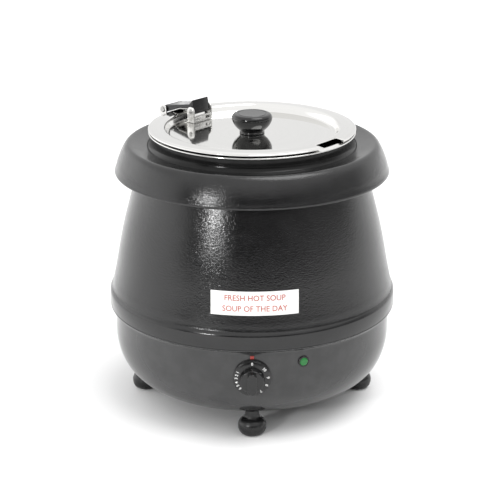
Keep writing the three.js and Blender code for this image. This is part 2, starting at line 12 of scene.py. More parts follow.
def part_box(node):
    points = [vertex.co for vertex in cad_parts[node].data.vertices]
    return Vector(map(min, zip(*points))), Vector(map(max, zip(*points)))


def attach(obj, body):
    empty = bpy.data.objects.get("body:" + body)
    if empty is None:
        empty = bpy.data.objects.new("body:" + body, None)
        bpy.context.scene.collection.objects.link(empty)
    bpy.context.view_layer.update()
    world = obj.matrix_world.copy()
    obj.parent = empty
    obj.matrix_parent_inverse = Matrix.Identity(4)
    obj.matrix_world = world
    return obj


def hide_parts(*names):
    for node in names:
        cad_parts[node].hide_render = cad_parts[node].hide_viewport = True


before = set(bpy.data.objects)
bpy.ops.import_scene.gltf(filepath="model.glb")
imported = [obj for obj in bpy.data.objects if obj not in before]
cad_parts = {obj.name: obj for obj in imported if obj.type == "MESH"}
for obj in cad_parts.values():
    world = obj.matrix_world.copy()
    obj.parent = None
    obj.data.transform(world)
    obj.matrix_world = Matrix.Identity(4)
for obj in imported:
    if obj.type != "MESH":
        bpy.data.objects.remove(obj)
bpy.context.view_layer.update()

bl_info = {
    "name": "Soup Kettle",
    "version": (1, 0, 0),
    "blender": (4, 5, 0),
    "location": "View3D > Sidebar > Kettle",
    "description": "Builds the finished pieces of an electric soup kettle around its frame",
    "category": "Add Mesh",
}

MM = 0.001

ROUND = 128  # steps round the casing, the lid and the pot
SMALL_ROUND = 40  # steps round the dial, the feet, the pins and the rivets
CORNER_ANGLE = 38  # an edge that turns more than this, in degrees, is a corner
HINGE_AZIMUTH = math.radians(138.6)
NOTCH_AZIMUTH = math.radians(-40)
LAMP_AZIMUTH = math.radians(-69.5)


# ---- Sizes taken from the frame, in millimetres ----


def low(node):
    """The lowest corner of a frame node."""
    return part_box(node)[0] / MM


def high(node):
    """The highest corner of a frame node."""
    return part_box(node)[1] / MM


BELT_RADIUS = high("upper_shell").x
BELT_BOTTOM = low("upper_shell").z
SHELL_TOP = high("upper_shell").z
BOWL_FLOOR = low("lower_bowl").z
COLLAR_RADIUS = high("collar").x
COLLAR_LIP = low("collar").z
COLLAR_CREST = high("collar").z
NECK_TOP = high("neck_ring").z
NECK_FOOT = low("neck_ring").z
POT_FLOOR = low("inner_pot").z
POT_RIM = high("inner_pot").z
POT_RIM_RADIUS = high("inner_pot").x
WELL_FLOOR = low("water_well").z
WELL_TOP = high("water_well").z
LID_RADIUS = high("lid_panel").x
LID_CREST = high("lid_panel").z
LID_LIP = high("neck_ring").z + 2
LID_PANEL = low("lid_knob").z - 0.3
KNOB_RADIUS = high("lid_knob").x
KNOB_TOP = high("lid_knob").z
DIAL_RADIUS = high("dial_knob").x
DIAL_BACK = high("dial_knob").y
DIAL_DEPTH = high("dial_knob").y - low("dial_knob").y
DIAL_HEIGHT = (high("dial_knob").z + low("dial_knob").z) / 2
LAMP_HEIGHT = (high("pilot_bezel").z + low("pilot_bezel").z) / 2
GLAND_HEIGHT = (high("cable_gland").z + low("cable_gland").z) / 2
GLAND_END = high("cable_gland").y
FOOT_PITCH = (high("foot_2").x + low("foot_2").x) / 2
BOWL_RADIUS = 165.4
BOWL_FLAT_RADIUS = 106
SPREAD = 5  # height over which the hammered relief grows
WELL_RADIUS = 117.4
POT_RADIUS = 113.2
NECK_BORE = 117.9
NECK_FOOT_RADIUS = 128.9
RIVET_OFFSET = 8  # of each rivet from the hinge's middle plane


# ---- Settings ----


class CasingSettings(bpy.types.PropertyGroup):
    """Sheet and paint of the bowl, the casing, the collar and the neck."""

    sheet: FloatProperty(
        name="Sheet", description="Thickness of the painted sheet", default=1.5 * MM, unit="LENGTH"
    )
    hem: FloatProperty(
        name="Hem", description="Radius of the collar's rolled hem", default=1.5 * MM, unit="LENGTH"
    )
    grain: FloatProperty(
        name="Grain", description="Size of a dimple in the paint", default=1.25 * MM, unit="LENGTH"
    )
    shell_colour: FloatVectorProperty(
        name="Casing", description="Paint of the casing", default=(0.0088, 0.0088, 0.0091), subtype="COLOR"
    )
    bowl_colour: FloatVectorProperty(
        name="Bowl", description="Paint of the lower bowl", default=(0.0315, 0.0317, 0.0321), subtype="COLOR"
    )
    neck_colour: FloatVectorProperty(
        name="Neck", description="Plastic of the neck", default=(0.008, 0.008, 0.008), subtype="COLOR"
    )


class LabelSettings(bpy.types.PropertyGroup):
    """The casing's label."""

    first_line: StringProperty(name="First line", description="Upper line", default="FRESH HOT SOUP")
    second_line: StringProperty(name="Second line", description="Lower line", default="SOUP OF THE DAY")
    letter: FloatProperty(
        name="Letter", description="Height of the letters", default=6.1 * MM, unit="LENGTH"
    )
    paper: FloatVectorProperty(
        name="Label", description="Face of the label", default=(0.86, 0.855, 0.84), subtype="COLOR"
    )
    ink: FloatVectorProperty(
        name="Ink", description="Colour of the letters", default=(0.42, 0.085, 0.06), subtype="COLOR"
    )
    pointer: FloatVectorProperty(
        name="Pointer", description="Colour of the pointer", default=(0.30, 0.028, 0.022), subtype="COLOR"
    )


class VesselSettings(bpy.types.PropertyGroup):
    """Steel of the pot, the water bath and the lid."""

    sheet: FloatProperty(
        name="Sheet", description="Thickness of the steel sheet", default=1.2 * MM, unit="LENGTH"
    )
    notch: FloatProperty(
        name="Notch", description="Width of the ladle notch", default=38 * MM, unit="LENGTH"
    )
    steel: FloatVectorProperty(
        name="Steel", description="Colour of the steel", default=(0.72, 0.715, 0.70), subtype="COLOR"
    )
    polish: FloatProperty(
        name="Polish", description="Roughness of the lid's steel", default=0.07, subtype="FACTOR"
    )


class FittingSettings(bpy.types.PropertyGroup):
    """Plastic and rubber fittings."""

    black: FloatVectorProperty(
        name="Black", description="Knob and hinge plastic", default=(0.0065, 0.0065, 0.0068), subtype="COLOR"
    )
    rubber: FloatVectorProperty(
        name="Rubber", description="Feet", default=(0.0075, 0.0075, 0.008), subtype="COLOR"
    )
    lens: FloatVectorProperty(
        name="Lens", description="Pilot lamp's lens", default=(0.01, 0.2, 0.035), subtype="COLOR"
    )
    digits: FloatVectorProperty(
        name="Digits", description="Numbers on the dial", default=(0.82, 0.82, 0.81), subtype="COLOR"
    )
    digit_size: FloatProperty(
        name="Digit size", description="Height of the numbers", default=4.6 * MM, unit="LENGTH"
    )
    top_number: IntProperty(name="Highest number", description="Last number of the dial", default=10)


class StudioSettings(bpy.types.PropertyGroup):
    """Camera, lights and floor."""

    lens: FloatProperty(name="Lens", description="Focal length in millimetres", default=115.2)
    distance: FloatProperty(
        name="Distance", description="Camera to target", default=1.929, unit="LENGTH"
    )
    elevation: FloatProperty(
        name="Elevation", description="Camera's height angle", default=math.radians(19.5), subtype="ANGLE"
    )
    target: FloatVectorProperty(
        name="Target", description="Point the camera looks at", default=(-0.0024, 0, 0.179), unit="LENGTH"
    )
    floor: FloatProperty(name="Floor", description="Half the floor's side", default=14, unit="LENGTH")
    floor_colour: FloatVectorProperty(
        name="Floor colour", description="Pale floor", default=(0.93, 0.93, 0.93), subtype="COLOR"
    )
    key_power: FloatProperty(name="Key", description="Power of the small front light", default=11.0)
    sun_power: FloatProperty(name="Top light", description="Strength of the top light", default=1.5)
    room: FloatProperty(name="Room", description="Strength of the white room", default=1.0)
    ceiling: FloatProperty(name="Ceiling", description="Brightness of the room's upper part", default=1.25)


# ---- Outlines: lists of (radius, height) in millimetres, from the bottom or the axis outwards ----


def arc(radius, height, bend, start, end, steps):
    """Points on an arc about (radius, height), from one angle in degrees to the other."""
    angles = [math.radians(start + (end - start) * i / steps) for i in range(steps + 1)]
    return [(radius + bend * math.cos(a), height + bend * math.sin(a)) for a in angles]


def smooth(points, steps=4):
    """A smooth line through all the points."""
    line = [Vector(p) for p in points]
    ends = [line[0]] + line + [line[-1]]
    result = []
    for before, a, b, after in zip(ends, ends[1:], ends[2:], ends[3:]):
        reach = (b - a).length / 3
        leave = a + (b - before).normalized() * reach
        arrive = b - (after - a).normalized() * reach
        result += interpolate_bezier(a, leave, arrive, b, steps + 1)[:-1]
    return result + [line[-1]]


def bowl_line():
    """Outside of the lower bowl, from the middle of its floor to the seat of the belt."""
    corner = interpolate_bezier(
        Vector((BOWL_FLAT_RADIUS, BOWL_FLOOR)),
        Vector((146, BOWL_FLOOR)),
        Vector((BOWL_RADIUS, 50)),
        Vector((BOWL_RADIUS, 90)),
        25,
    )
    flare = smooth(
        [
            (BOWL_RADIUS + 0.1, 110),
            (BOWL_RADIUS + 0.5, 113.2),
            (BOWL_RADIUS + 2.0, 116.2),
            (BELT_RADIUS - 1.4, 118.1),
            (BELT_RADIUS - 0.1, 118.7),
        ]
    )
    return [(0, BOWL_FLOOR), (60, BOWL_FLOOR), *corner, *flare, (BELT_RADIUS, BELT_BOTTOM - 0.3)]


def casing_line():
    """Outside of the casing, from the belt up to the collar."""
    shoulder = [
        (BELT_RADIUS, 134),
        (BELT_RADIUS - 0.3, 136.4),
        (170, 138.8),
        (168.6, 140.8),
        (167.8, 143.6),
        (167.2, 147),
        (166.5, 150.5),
        (165.6, 154.5),
        (162.3, 171),
        (157.7, 196),
        (152.2, 221),
        (143.2, 255),
        (133.6, 288),
        (131.2, SHELL_TOP),
    ]
    return [(BELT_RADIUS, BELT_BOTTOM), *smooth(shoulder)]


WALL_LINE = [(166.8, 149), (162.3, 171), (157.7, 196)]


def wall_radius(height):
    """Radius of the casing's wall behind the label."""
    spans = zip(WALL_LINE, WALL_LINE[1:])
    for (r1, z1), (r2, z2) in spans:
        if height <= z2:
            return r1 + (r2 - r1) * (height - z1) / (z2 - z1)
    return WALL_LINE[-1][0]


# ---- Shapes ----


def turned(outline, steps=ROUND, ring=False):
    """The outline turned about the kettle's axis. A ring's outline closes on itself."""
    bm = bmesh.new()
    verts = [bm.verts.new((r * MM, 0, z * MM)) for r, z in outline]
    following = verts[1:] + verts[:1] if ring else verts[1:]
    edges = [bm.edges.new(pair) for pair in zip(verts, following)]
    bmesh.ops.spin(
        bm,
        geom=verts + edges,
        cent=(0, 0, 0),
        axis=(0, 0, 1),
        dvec=(0, 0, 0),
        angle=math.tau,
        steps=steps,
        use_merge=True,
        use_duplicate=False,
    )
    bmesh.ops.remove_doubles(bm, verts=bm.verts, dist=1e-6)
    bmesh.ops.recalc_face_normals(bm, faces=bm.faces)
    return bm


def walled(bm, thickness):
    """Gives a turned sheet its thickness, on the side away from its faces."""
    bmesh.ops.solidify(bm, geom=bm.faces[:], thickness=thickness)
    return bm


def plate(outline, width, centre=0):
    """A solid between an (x, z) outline and its copy, width apart along y, in millimetres."""
    bm = bmesh.new()
    near = (centre - width / 2) * MM
    face = bm.faces.new([bm.verts.new((x * MM, near, z * MM)) for x, z in outline])
    grown = bmesh.ops.extrude_face_region(bm, geom=[face])
    far = [v for v in grown["geom"] if isinstance(v, bmesh.types.BMVert)]
    bmesh.ops.translate(bm, vec=(0, width * MM, 0), verts=far)
    bmesh.ops.recalc_face_normals(bm, faces=bm.faces)
    return bm


def block(size, centre):
    """A box of a size about a centre, in millimetres."""
    bm = bmesh.new()
    bmesh.ops.create_cube(bm, size=1)
    bmesh.ops.scale(bm, vec=Vector(size) * MM, verts=bm.verts)
    bmesh.ops.translate(bm, vec=Vector(centre) * MM, verts=bm.verts)
    return bm


def prism(sides, across, bottom, top):
    """An upright nut shape, measured across its flats."""
    bm = bmesh.new()
    bmesh.ops.create_cone(
        bm,
        cap_ends=True,
        segments=sides,
        radius1=across / 2 / math.cos(math.pi / sides) * MM,
        radius2=across / 2 / math.cos(math.pi / sides) * MM,
        depth=(top - bottom) * MM,
    )
    bmesh.ops.translate(bm, vec=(0, 0, (top + bottom) / 2 * MM), verts=bm.verts)
    return bm


def corners(bm, angle=CORNER_ANGLE):
    """The edges that turn more than an angle in degrees."""
    bm.normal_update()
    limit = math.radians(angle)
    return [e for e in bm.edges if e.is_manifold and e.calc_face_angle() > limit]


def beveled(bm, width, segments=2, angle=CORNER_ANGLE):
    """Rounds the corners of a shape by a width in millimetres."""
    bmesh.ops.bevel(
        bm,
        geom=corners(bm, angle),
        offset=width * MM,
        offset_type="OFFSET",
        affect="EDGES",
        segments=segments,
        profile=0.5,
        material=-1,
        clamp_overlap=True,
    )
    return bm


def moved(bm, matrix):
    """Puts a shape in its place."""
    bmesh.ops.transform(bm, matrix=matrix, verts=bm.verts)
    return bm


def together(*shapes):
    """Several shapes as one."""
    whole, *others = shapes
    for other in others:
        spare = bpy.data.meshes.new("spare")
        other.to_mesh(spare)
        other.free()
        whole.from_mesh(spare)
        bpy.data.meshes.remove(spare)
    return whole


def facing_out(azimuth, radius, height):
    """Place of a fitting on the casing: its own z points out and its own y points up."""
    turn = Matrix.Rotation(azimuth + math.pi / 2, 4, "Z") @ Matrix.Rotation(math.pi / 2, 4, "X")
    spot = Vector((radius * math.cos(azimuth), radius * math.sin(azimuth), height)) * MM
    return Matrix.Translation(spot) @ turn


def cross_pin(profile, x, z):
    """A turned (radius, place along y) profile laid across the hinge at (x, z), in millimetres."""
    bm = turned(profile, SMALL_ROUND)
    lay = Matrix.Rotation(-math.pi / 2, 4, "X")
    return moved(bm, Matrix.Translation(Vector((x, 0, z)) * MM) @ lay)


def lettering(text, size, thickness, weight=0.0):
    """A line of text as a flat mesh, centred on the origin, in metres. Weight makes it bolder."""
    curve = bpy.data.curves.new("lettering", "FONT")
    curve.body = text
    curve.size = size
    curve.extrude = thickness / 2
    curve.offset = weight
    curve.align_x = "CENTER"
    curve.align_y = "CENTER"
    curve.resolution_u = 4
    spare = bpy.data.objects.new("lettering", curve)
    bpy.context.scene.collection.objects.link(spare)
    bpy.context.view_layer.update()
    mesh = bpy.data.meshes.new_from_object(spare.evaluated_get(bpy.context.evaluated_depsgraph_get()))
    bm = bmesh.new()
    bm.from_mesh(mesh)
    bpy.data.objects.remove(spare)
    bpy.data.curves.remove(curve)
    bpy.data.meshes.remove(mesh)
    bmesh.ops.remove_doubles(bm, verts=bm.verts, dist=1e-6)
    bmesh.ops.recalc_face_normals(bm, faces=bm.faces)
    return bm


def wrapped(bm, centre, middle, lift):
    """Lays a flat shape on the casing's wall: x goes round it and y goes up it, in metres."""
    for v in bm.verts:
        height = middle + v.co.y / MM
        radius = wall_radius(height) + lift + v.co.z / MM
        turn = (centre + v.co.x / MM) / radius
        v.co = Vector((radius * math.sin(turn), -radius * math.cos(turn), height)) * MM
    bmesh.ops.recalc_face_normals(bm, faces=bm.faces)
    return bm


def piece(bm, name, body, slot, finish, *nodes):
    """Makes a shape a finished piece that rides on a body and stands for frame nodes."""
    for edge in bm.edges:
        edge.smooth = True
    for edge in corners(bm):
        edge.smooth = False
    for face in bm.faces:
        face.smooth = True
    mesh = bpy.data.meshes.new(name)
    bm.to_mesh(mesh)
    bm.free()
    mesh.materials.append(finish)
    made = bpy.data.objects.new(name, mesh)
    bpy.context.scene.collection.objects.link(made)
    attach(made, body)
    if nodes:
        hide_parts(*nodes)
    return made


def refinish(finish, *nodes):
    """Gives frame nodes that keep their shape a finish of their own."""
    for name in nodes:
        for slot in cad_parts[name].material_slots:
            slot.material = finish


# ---- Effects shared by the finishes ----


class Effect:
    """A shader node group being built, with a Place input and named numbers in and out."""

    def __init__(self, name, numbers, results):
        self.tree = bpy.data.node_groups.new(name, "ShaderNodeTree")
        sockets = self.tree.interface
        sockets.new_socket(name="Place", in_out="INPUT", socket_type="NodeSocketVector")
        for number, default in numbers.items():
            socket = sockets.new_socket(name=number, in_out="INPUT", socket_type="NodeSocketFloat")
            socket.default_value = default
        for result in results:
            sockets.new_socket(name=result, in_out="OUTPUT", socket_type="NodeSocketFloat")
        self.given = self.tree.nodes.new("NodeGroupInput").outputs
        self.results = self.tree.nodes.new("NodeGroupOutput").inputs

    def link(self, source, target):
        self.tree.links.new(source, target)

    def math(self, operation, first, second=None):
        """A Math node on numbers or sockets."""
        node = self.tree.nodes.new("ShaderNodeMath")
        node.operation = operation
        for value, socket in zip((first, second), node.inputs):
            if isinstance(value, bpy.types.NodeSocket):
                self.link(value, socket)
            elif value is not None:
                socket.default_value = value
        return node.outputs[0]

    def scaled(self, vector, factor):
        """A vector times a socket's number."""
        node = self.tree.nodes.new("ShaderNodeVectorMath")
        node.operation = "SCALE"
        self.link(vector, node.inputs[0])
        self.link(factor, node.inputs["Scale"])
        return node.outputs[0]

    def added(self, first, second):
        """The sum of two vectors."""
        node = self.tree.nodes.new("ShaderNodeVectorMath")
        node.operation = "ADD"
        self.link(first, node.inputs[0])
        self.link(second, node.inputs[1])
        return node.outputs[0]

    def noise(self, vector, scale=1.0, detail=2.0, roughness=0.5):
        """A Noise Texture node."""
        node = self.tree.nodes.new("ShaderNodeTexNoise")
        self.link(vector, node.inputs["Vector"])
        node.inputs["Scale"].default_value = scale
        node.inputs["Detail"].default_value = detail
        node.inputs["Roughness"].default_value = roughness
        return node.outputs

    def ranged(self, value, low_in, high_in, low_out=0.0, high_out=1.0):
        """A smooth Map Range node."""
        node = self.tree.nodes.new("ShaderNodeMapRange")
        node.interpolation_type = "SMOOTHSTEP"
        self.link(value, node.inputs["Value"])
        for socket, number in zip(node.inputs[1:5], (low_in, high_in, low_out, high_out)):
            socket.default_value = number
        return node.outputs[0]


def hammered_effect():
    """Dimples of hammered paint, of one grain size, that fade out below a starting height."""
    effect = Effect("Hammered", {"Grain": 0.002, "Start": -1.0}, ("Height", "Tone"))
    place = effect.given["Place"]
    per_metre = effect.math("DIVIDE", 1.0, effect.given["Grain"])
    grown = effect.scaled(place, per_metre)
    drift = effect.noise(grown, 0.9, 1.0)["Color"]
    cells = effect.tree.nodes.new("ShaderNodeTexVoronoi")
    cells.feature = "SMOOTH_F1"
    effect.link(effect.added(grown, drift), cells.inputs["Vector"])
    cells.inputs["Scale"].default_value = 1.0
    cells.inputs["Smoothness"].default_value = 0.7
    dimple = effect.ranged(cells.outputs["Distance"], 0.1, 0.75, 1.0, 0.0)
    rise = effect.noise(grown, 0.45, 2.0)["Fac"]
    relief = effect.math("ADD", effect.math("MULTIPLY", dimple, 0.55), rise)
    parts = effect.tree.nodes.new("ShaderNodeSeparateXYZ")
    effect.link(place, parts.inputs[0])
    above = effect.math("SUBTRACT", parts.outputs[2], effect.given["Start"])
    share = effect.math("MINIMUM", effect.math("DIVIDE", above, SPREAD * MM), 1.0)
    held = effect.math("MAXIMUM", share, 0.05)
    effect.link(effect.math("MULTIPLY", relief, held), effect.results["Height"])
    effect.link(effect.ranged(effect.noise(grown, 0.06, 3.0)["Fac"], 0.3, 0.7), effect.results["Tone"])


def moulded_effect():
    """The fine bloom of moulded plastic or rubber."""
    effect = Effect("Moulded", {"Grain": 0.0006}, ("Height", "Tone"))
    per_metre = effect.math("DIVIDE", 1.0, effect.given["Grain"])
    grown = effect.scaled(effect.given["Place"], per_metre)
    effect.link(effect.noise(grown, 1.0, 3.0, 0.6)["Fac"], effect.results["Height"])
    effect.link(effect.ranged(effect.noise(grown, 0.035, 3.0)["Fac"], 0.3, 0.7), effect.results["Tone"])


def ring_brushed_effect():
    """Fine lines left by turning: they run round the kettle's axis."""
    effect = Effect("Ring brushed", {"Line": 0.0005}, ("Height", "Tone"))
    parts = effect.tree.nodes.new("ShaderNodeSeparateXYZ")
    effect.link(effect.given["Place"], parts.inputs[0])
    squares = [effect.math("MULTIPLY", parts.outputs[i], parts.outputs[i]) for i in (0, 1)]
    radius = effect.math("SQRT", effect.math("ADD", *squares))
    across = effect.math("ADD", radius, parts.outputs[2])
    safe = effect.math("MAXIMUM", radius, 1e-4)
    line = effect.tree.nodes.new("ShaderNodeCombineXYZ")
    effect.link(effect.math("DIVIDE", across, effect.given["Line"]), line.inputs[0])
    for i in (0, 1):
        round_it = effect.math("DIVIDE", parts.outputs[i], safe)
        effect.link(effect.math("MULTIPLY", round_it, 1.6), line.inputs[i + 1])
    effect.link(effect.noise(line.outputs[0], 1.0, 3.0, 0.65)["Fac"], effect.results["Height"])
    broad = effect.noise(line.outputs[0], 0.11, 3.0, 0.6)["Fac"]
    effect.link(effect.ranged(broad, 0.3, 0.7), effect.results["Tone"])


def straight_brushed_effect():
    """Fine straight lines along the hinge, on sheet steel."""
    effect = Effect("Straight brushed", {"Line": 0.0004}, ("Height", "Tone"))
    turn = effect.tree.nodes.new("ShaderNodeVectorRotate")
    turn.rotation_type = "Z_AXIS"
    turn.inputs["Angle"].default_value = -HINGE_AZIMUTH
    effect.link(effect.given["Place"], turn.inputs["Vector"])
    stretch = effect.tree.nodes.new("ShaderNodeVectorMath")
    stretch.operation = "MULTIPLY"
    stretch.inputs[1].default_value = (0.04, 1.0, 0.04)
    effect.link(turn.outputs[0], stretch.inputs[0])
    per_metre = effect.math("DIVIDE", 1.0, effect.given["Line"])
    grown = effect.scaled(stretch.outputs[0], per_metre)
    effect.link(effect.noise(grown, 1.0, 3.0, 0.65)["Fac"], effect.results["Height"])
    effect.link(effect.ranged(effect.noise(grown, 0.2, 2.0)["Fac"], 0.3, 0.7), effect.results["Tone"])


def handled_effect():
    """Faint marks of hands and wiping."""
    effect = Effect("Handled", {"Size": 0.03}, ("Mark", "Speck"))
    per_metre = effect.math("DIVIDE", 1.0, effect.given["Size"])
    grown = effect.scaled(effect.given["Place"], per_metre)
    effect.link(effect.ranged(effect.noise(grown, 1.0, 4.0, 0.6)["Fac"], 0.42, 0.68), effect.results["Mark"])
    specks = effect.noise(grown, 38.0, 2.0, 0.7)["Fac"]
    effect.link(effect.ranged(specks, 0.68, 0.8), effect.results["Speck"])


class Finish:
    """A material being built from its plain numbers and the shared effects."""

    def __init__(self, name, roughness, metallic=0.0, specular=0.5):
        self.material = bpy.data.materials.new(name)
        self.material.use_nodes = True
        self.tree = self.material.node_tree
        self.shader = self.tree.nodes["Principled BSDF"].inputs
        self.shader["Metallic"].default_value = metallic
        self.shader["Specular IOR Level"].default_value = specular
        self.roughness = roughness
        self.normal = None
        self.place = self.tree.nodes.new("ShaderNodeTexCoord").outputs["Object"]

    def effect(self, name, **numbers):
        """One of the shared effects, with this finish's numbers."""
        node = self.tree.nodes.new("ShaderNodeGroup")
        node.node_tree = bpy.data.node_groups[name]
        self.tree.links.new(self.place, node.inputs["Place"])
        for number, value in numbers.items():
            node.inputs[number].default_value = value
        return node.outputs

    def coloured(self, mask, dark, light):
        """Base colour from one colour to the other by a mask."""
        mix = self.tree.nodes.new("ShaderNodeMix")
        mix.data_type = "RGBA"
        self.tree.links.new(mask, mix.inputs["Factor"])
        mix.inputs[6].default_value = (*dark, 1)
        mix.inputs[7].default_value = (*light, 1)
        self.tree.links.new(mix.outputs[2], self.shader["Base Color"])

    def roughened(self, mask, spread):
        """Roughness spread about the finish's own by a mask."""
        node = self.tree.nodes.new("ShaderNodeMapRange")
        self.tree.links.new(mask, node.inputs["Value"])
        node.inputs["To Min"].default_value = self.roughness - spread
        node.inputs["To Max"].default_value = self.roughness + spread
        self.tree.links.new(node.outputs[0], self.shader["Roughness"])

    def bumped(self, height, depth):
        """Relief of a depth in millimetres, on top of any before it."""
        bump = self.tree.nodes.new("ShaderNodeBump")
        bump.inputs["Strength"].default_value = 1.0
        bump.inputs["Distance"].default_value = depth * MM
        self.tree.links.new(height, bump.inputs["Height"])
        if self.normal:
            self.tree.links.new(self.normal, bump.inputs["Normal"])
        self.normal = bump.outputs["Normal"]
        self.tree.links.new(self.normal, self.shader["Normal"])


def tinted(colour, factor):
    """A colour made darker or lighter."""
    return tuple(min(channel * factor, 1.0) for channel in colour)


def paint(name, colour, grain, depth, roughness, start=-1.0):
    """Hammered paint, smooth below a starting height."""
    finish = Finish(name, roughness)
    hammered = finish.effect("Hammered", Grain=grain, Start=start)
    handled = finish.effect("Handled", Size=0.045)
    finish.coloured(hammered["Tone"], tinted(colour, 0.85), tinted(colour, 1.2))
    finish.roughened(handled["Mark"], 0.035)
    finish.bumped(hammered["Height"], depth)
    return finish.material


def plastic(name, colour, roughness, depth=0.006, grain=0.0006, contrast=0.25, specular=0.5):
    """Moulded plastic or rubber."""
    finish = Finish(name, roughness, specular=specular)
    moulded = finish.effect("Moulded", Grain=grain)
    handled = finish.effect("Handled", Size=0.012)
    finish.coloured(moulded["Tone"], tinted(colour, 1 - contrast), tinted(colour, 1 + contrast))
    finish.roughened(handled["Mark"], roughness * 0.2)
    finish.bumped(moulded["Height"], depth)
    return finish.material


def turned_steel(name, colour, roughness, line=0.0005, depth=0.001, contrast=0.045):
    """Sheet steel with lines running round the kettle's axis."""
    finish = Finish(name, roughness, metallic=1.0)
    brushed = finish.effect("Ring brushed", Line=line)
    handled = finish.effect("Handled", Size=0.05)
    finish.coloured(brushed["Tone"], tinted(colour, 1 - contrast), tinted(colour, 1 + contrast))
    finish.roughened(handled["Mark"], roughness * 0.25)
    finish.bumped(brushed["Height"], depth)
    return finish.material


def cut_steel(name, colour, roughness, line=0.0004, depth=0.003):
    """Sheet or bar steel with straight lines."""
    finish = Finish(name, roughness, metallic=1.0)
    brushed = finish.effect("Straight brushed", Line=line)
    handled = finish.effect("Handled", Size=0.015)
    finish.coloured(brushed["Tone"], tinted(colour, 0.9), tinted(colour, 1.05))
    finish.roughened(handled["Mark"], roughness * 0.25)
    finish.bumped(brushed["Height"], depth)
    return finish.material


def printed(name, colour, roughness, grain=0.0009):
    """Print or film on a smooth face."""
    finish = Finish(name, roughness)
    moulded = finish.effect("Moulded", Grain=grain)
    finish.coloured(moulded["Tone"], tinted(colour, 0.96), tinted(colour, 1.03))
    finish.roughened(finish.effect("Handled", Size=0.02)["Mark"], 0.05)
    finish.bumped(moulded["Height"], 0.002)
    return finish.material


# ---- Operators, one for each piece or group of like pieces ----


class KETTLE_OT_effects(bpy.types.Operator):
    """Make the node groups that the finishes share"""

    bl_idname = "kettle.effects"
    bl_label = "Shared effects"

    def execute(self, context):
        hammered_effect()
        moulded_effect()
        ring_brushed_effect()
        straight_brushed_effect()
        handled_effect()
        return {"FINISHED"}


class KETTLE_OT_bowl(bpy.types.Operator):
    """Make the lower bowl with its concave flare under the belt"""

    bl_idname = "kettle.bowl"
    bl_label = "Lower bowl"

    def execute(self, context):
        casing = context.scene.kettle_casing
        bowl = beveled(walled(turned(bowl_line()), casing.sheet), 0.25)
        finish = paint("Bowl paint", casing.bowl_colour, casing.grain, 0.012, 0.13)
        piece(bowl, "bowl_body", "kettle", "bowl_paint", finish, "lower_bowl")
        return {"FINISHED"}


class KETTLE_OT_casing(bpy.types.Operator):
    """Make the casing with its belt and shoulder"""

    bl_idname = "kettle.casing"
    bl_label = "Casing"

    def execute(self, context):
        casing = context.scene.kettle_casing
        wall = beveled(walled(turned(casing_line()), casing.sheet), 0.4)
        finish = paint(
            "Casing paint", casing.shell_colour, casing.grain, 0.125, 0.2, start=(BELT_BOTTOM + 16) * MM
        )
        piece(wall, "casing_body", "kettle", "shell_paint", finish, "upper_shell")
        return {"FINISHED"}


class KETTLE_OT_collar(bpy.types.Operator):
    """Make the overhanging collar with its rolled hem"""

    bl_idname = "kettle.collar"
    bl_label = "Collar"

    def execute(self, context):
        casing = context.scene.kettle_casing
        hem = casing.hem / MM
        bead = arc(COLLAR_RADIUS - hem, COLLAR_LIP + hem, hem, -150, 0, 8)
        skirt = [
            (COLLAR_RADIUS - 0.3, COLLAR_LIP + 3.2),
            (160.6, 288),
            (158.9, 294),
            (155.6, 302.5),
            (152.3, 309.3),
            (149.6, 313.3),
            (146.2, COLLAR_CREST - 0.2),
            (142.4, COLLAR_CREST - 0.2),
            (135, 314.4),
            (123.4, 312.6),
        ]
        shape = beveled(walled(turned([*bead, *smooth(skirt)]), casing.sheet), 0.3)
        finish = paint("Collar paint", casing.shell_colour, casing.grain, 0.125, 0.2)
        piece(shape, "collar_body", "kettle", "shell_paint", finish, "collar")
        return {"FINISHED"}


class KETTLE_OT_neck(bpy.types.Operator):
    """Make the black neck ring under the pot's rim"""

    bl_idname = "kettle.neck"
    bl_label = "Neck ring"

    def execute(self, context):
        casing = context.scene.kettle_casing
        outside = smooth(
            [
                (123.0, 312.4),
                (121.4, 314.4),
                (120.2, 317),
                (119.9, 319),
                (119.8, 323),
                (119.5, NECK_TOP - 1.8),
            ]
        )
        ring = [
            (NECK_BORE, NECK_FOOT),
            (NECK_FOOT_RADIUS, NECK_FOOT),
            (NECK_FOOT_RADIUS, 309.6),
            (123.0, 309.6),
            *outside,
            (118.6, NECK_TOP - 0.9),
            (NECK_BORE, NECK_TOP - 0.7),
        ]
        shape = beveled(turned(ring, ring=True), 0.4)
        finish = plastic("Neck plastic", casing.neck_colour, 0.2, depth=0.002, specular=0.2)
        piece(shape, "neck_body", "kettle", "neck_plastic", finish, "neck_ring")
        return {"FINISHED"}


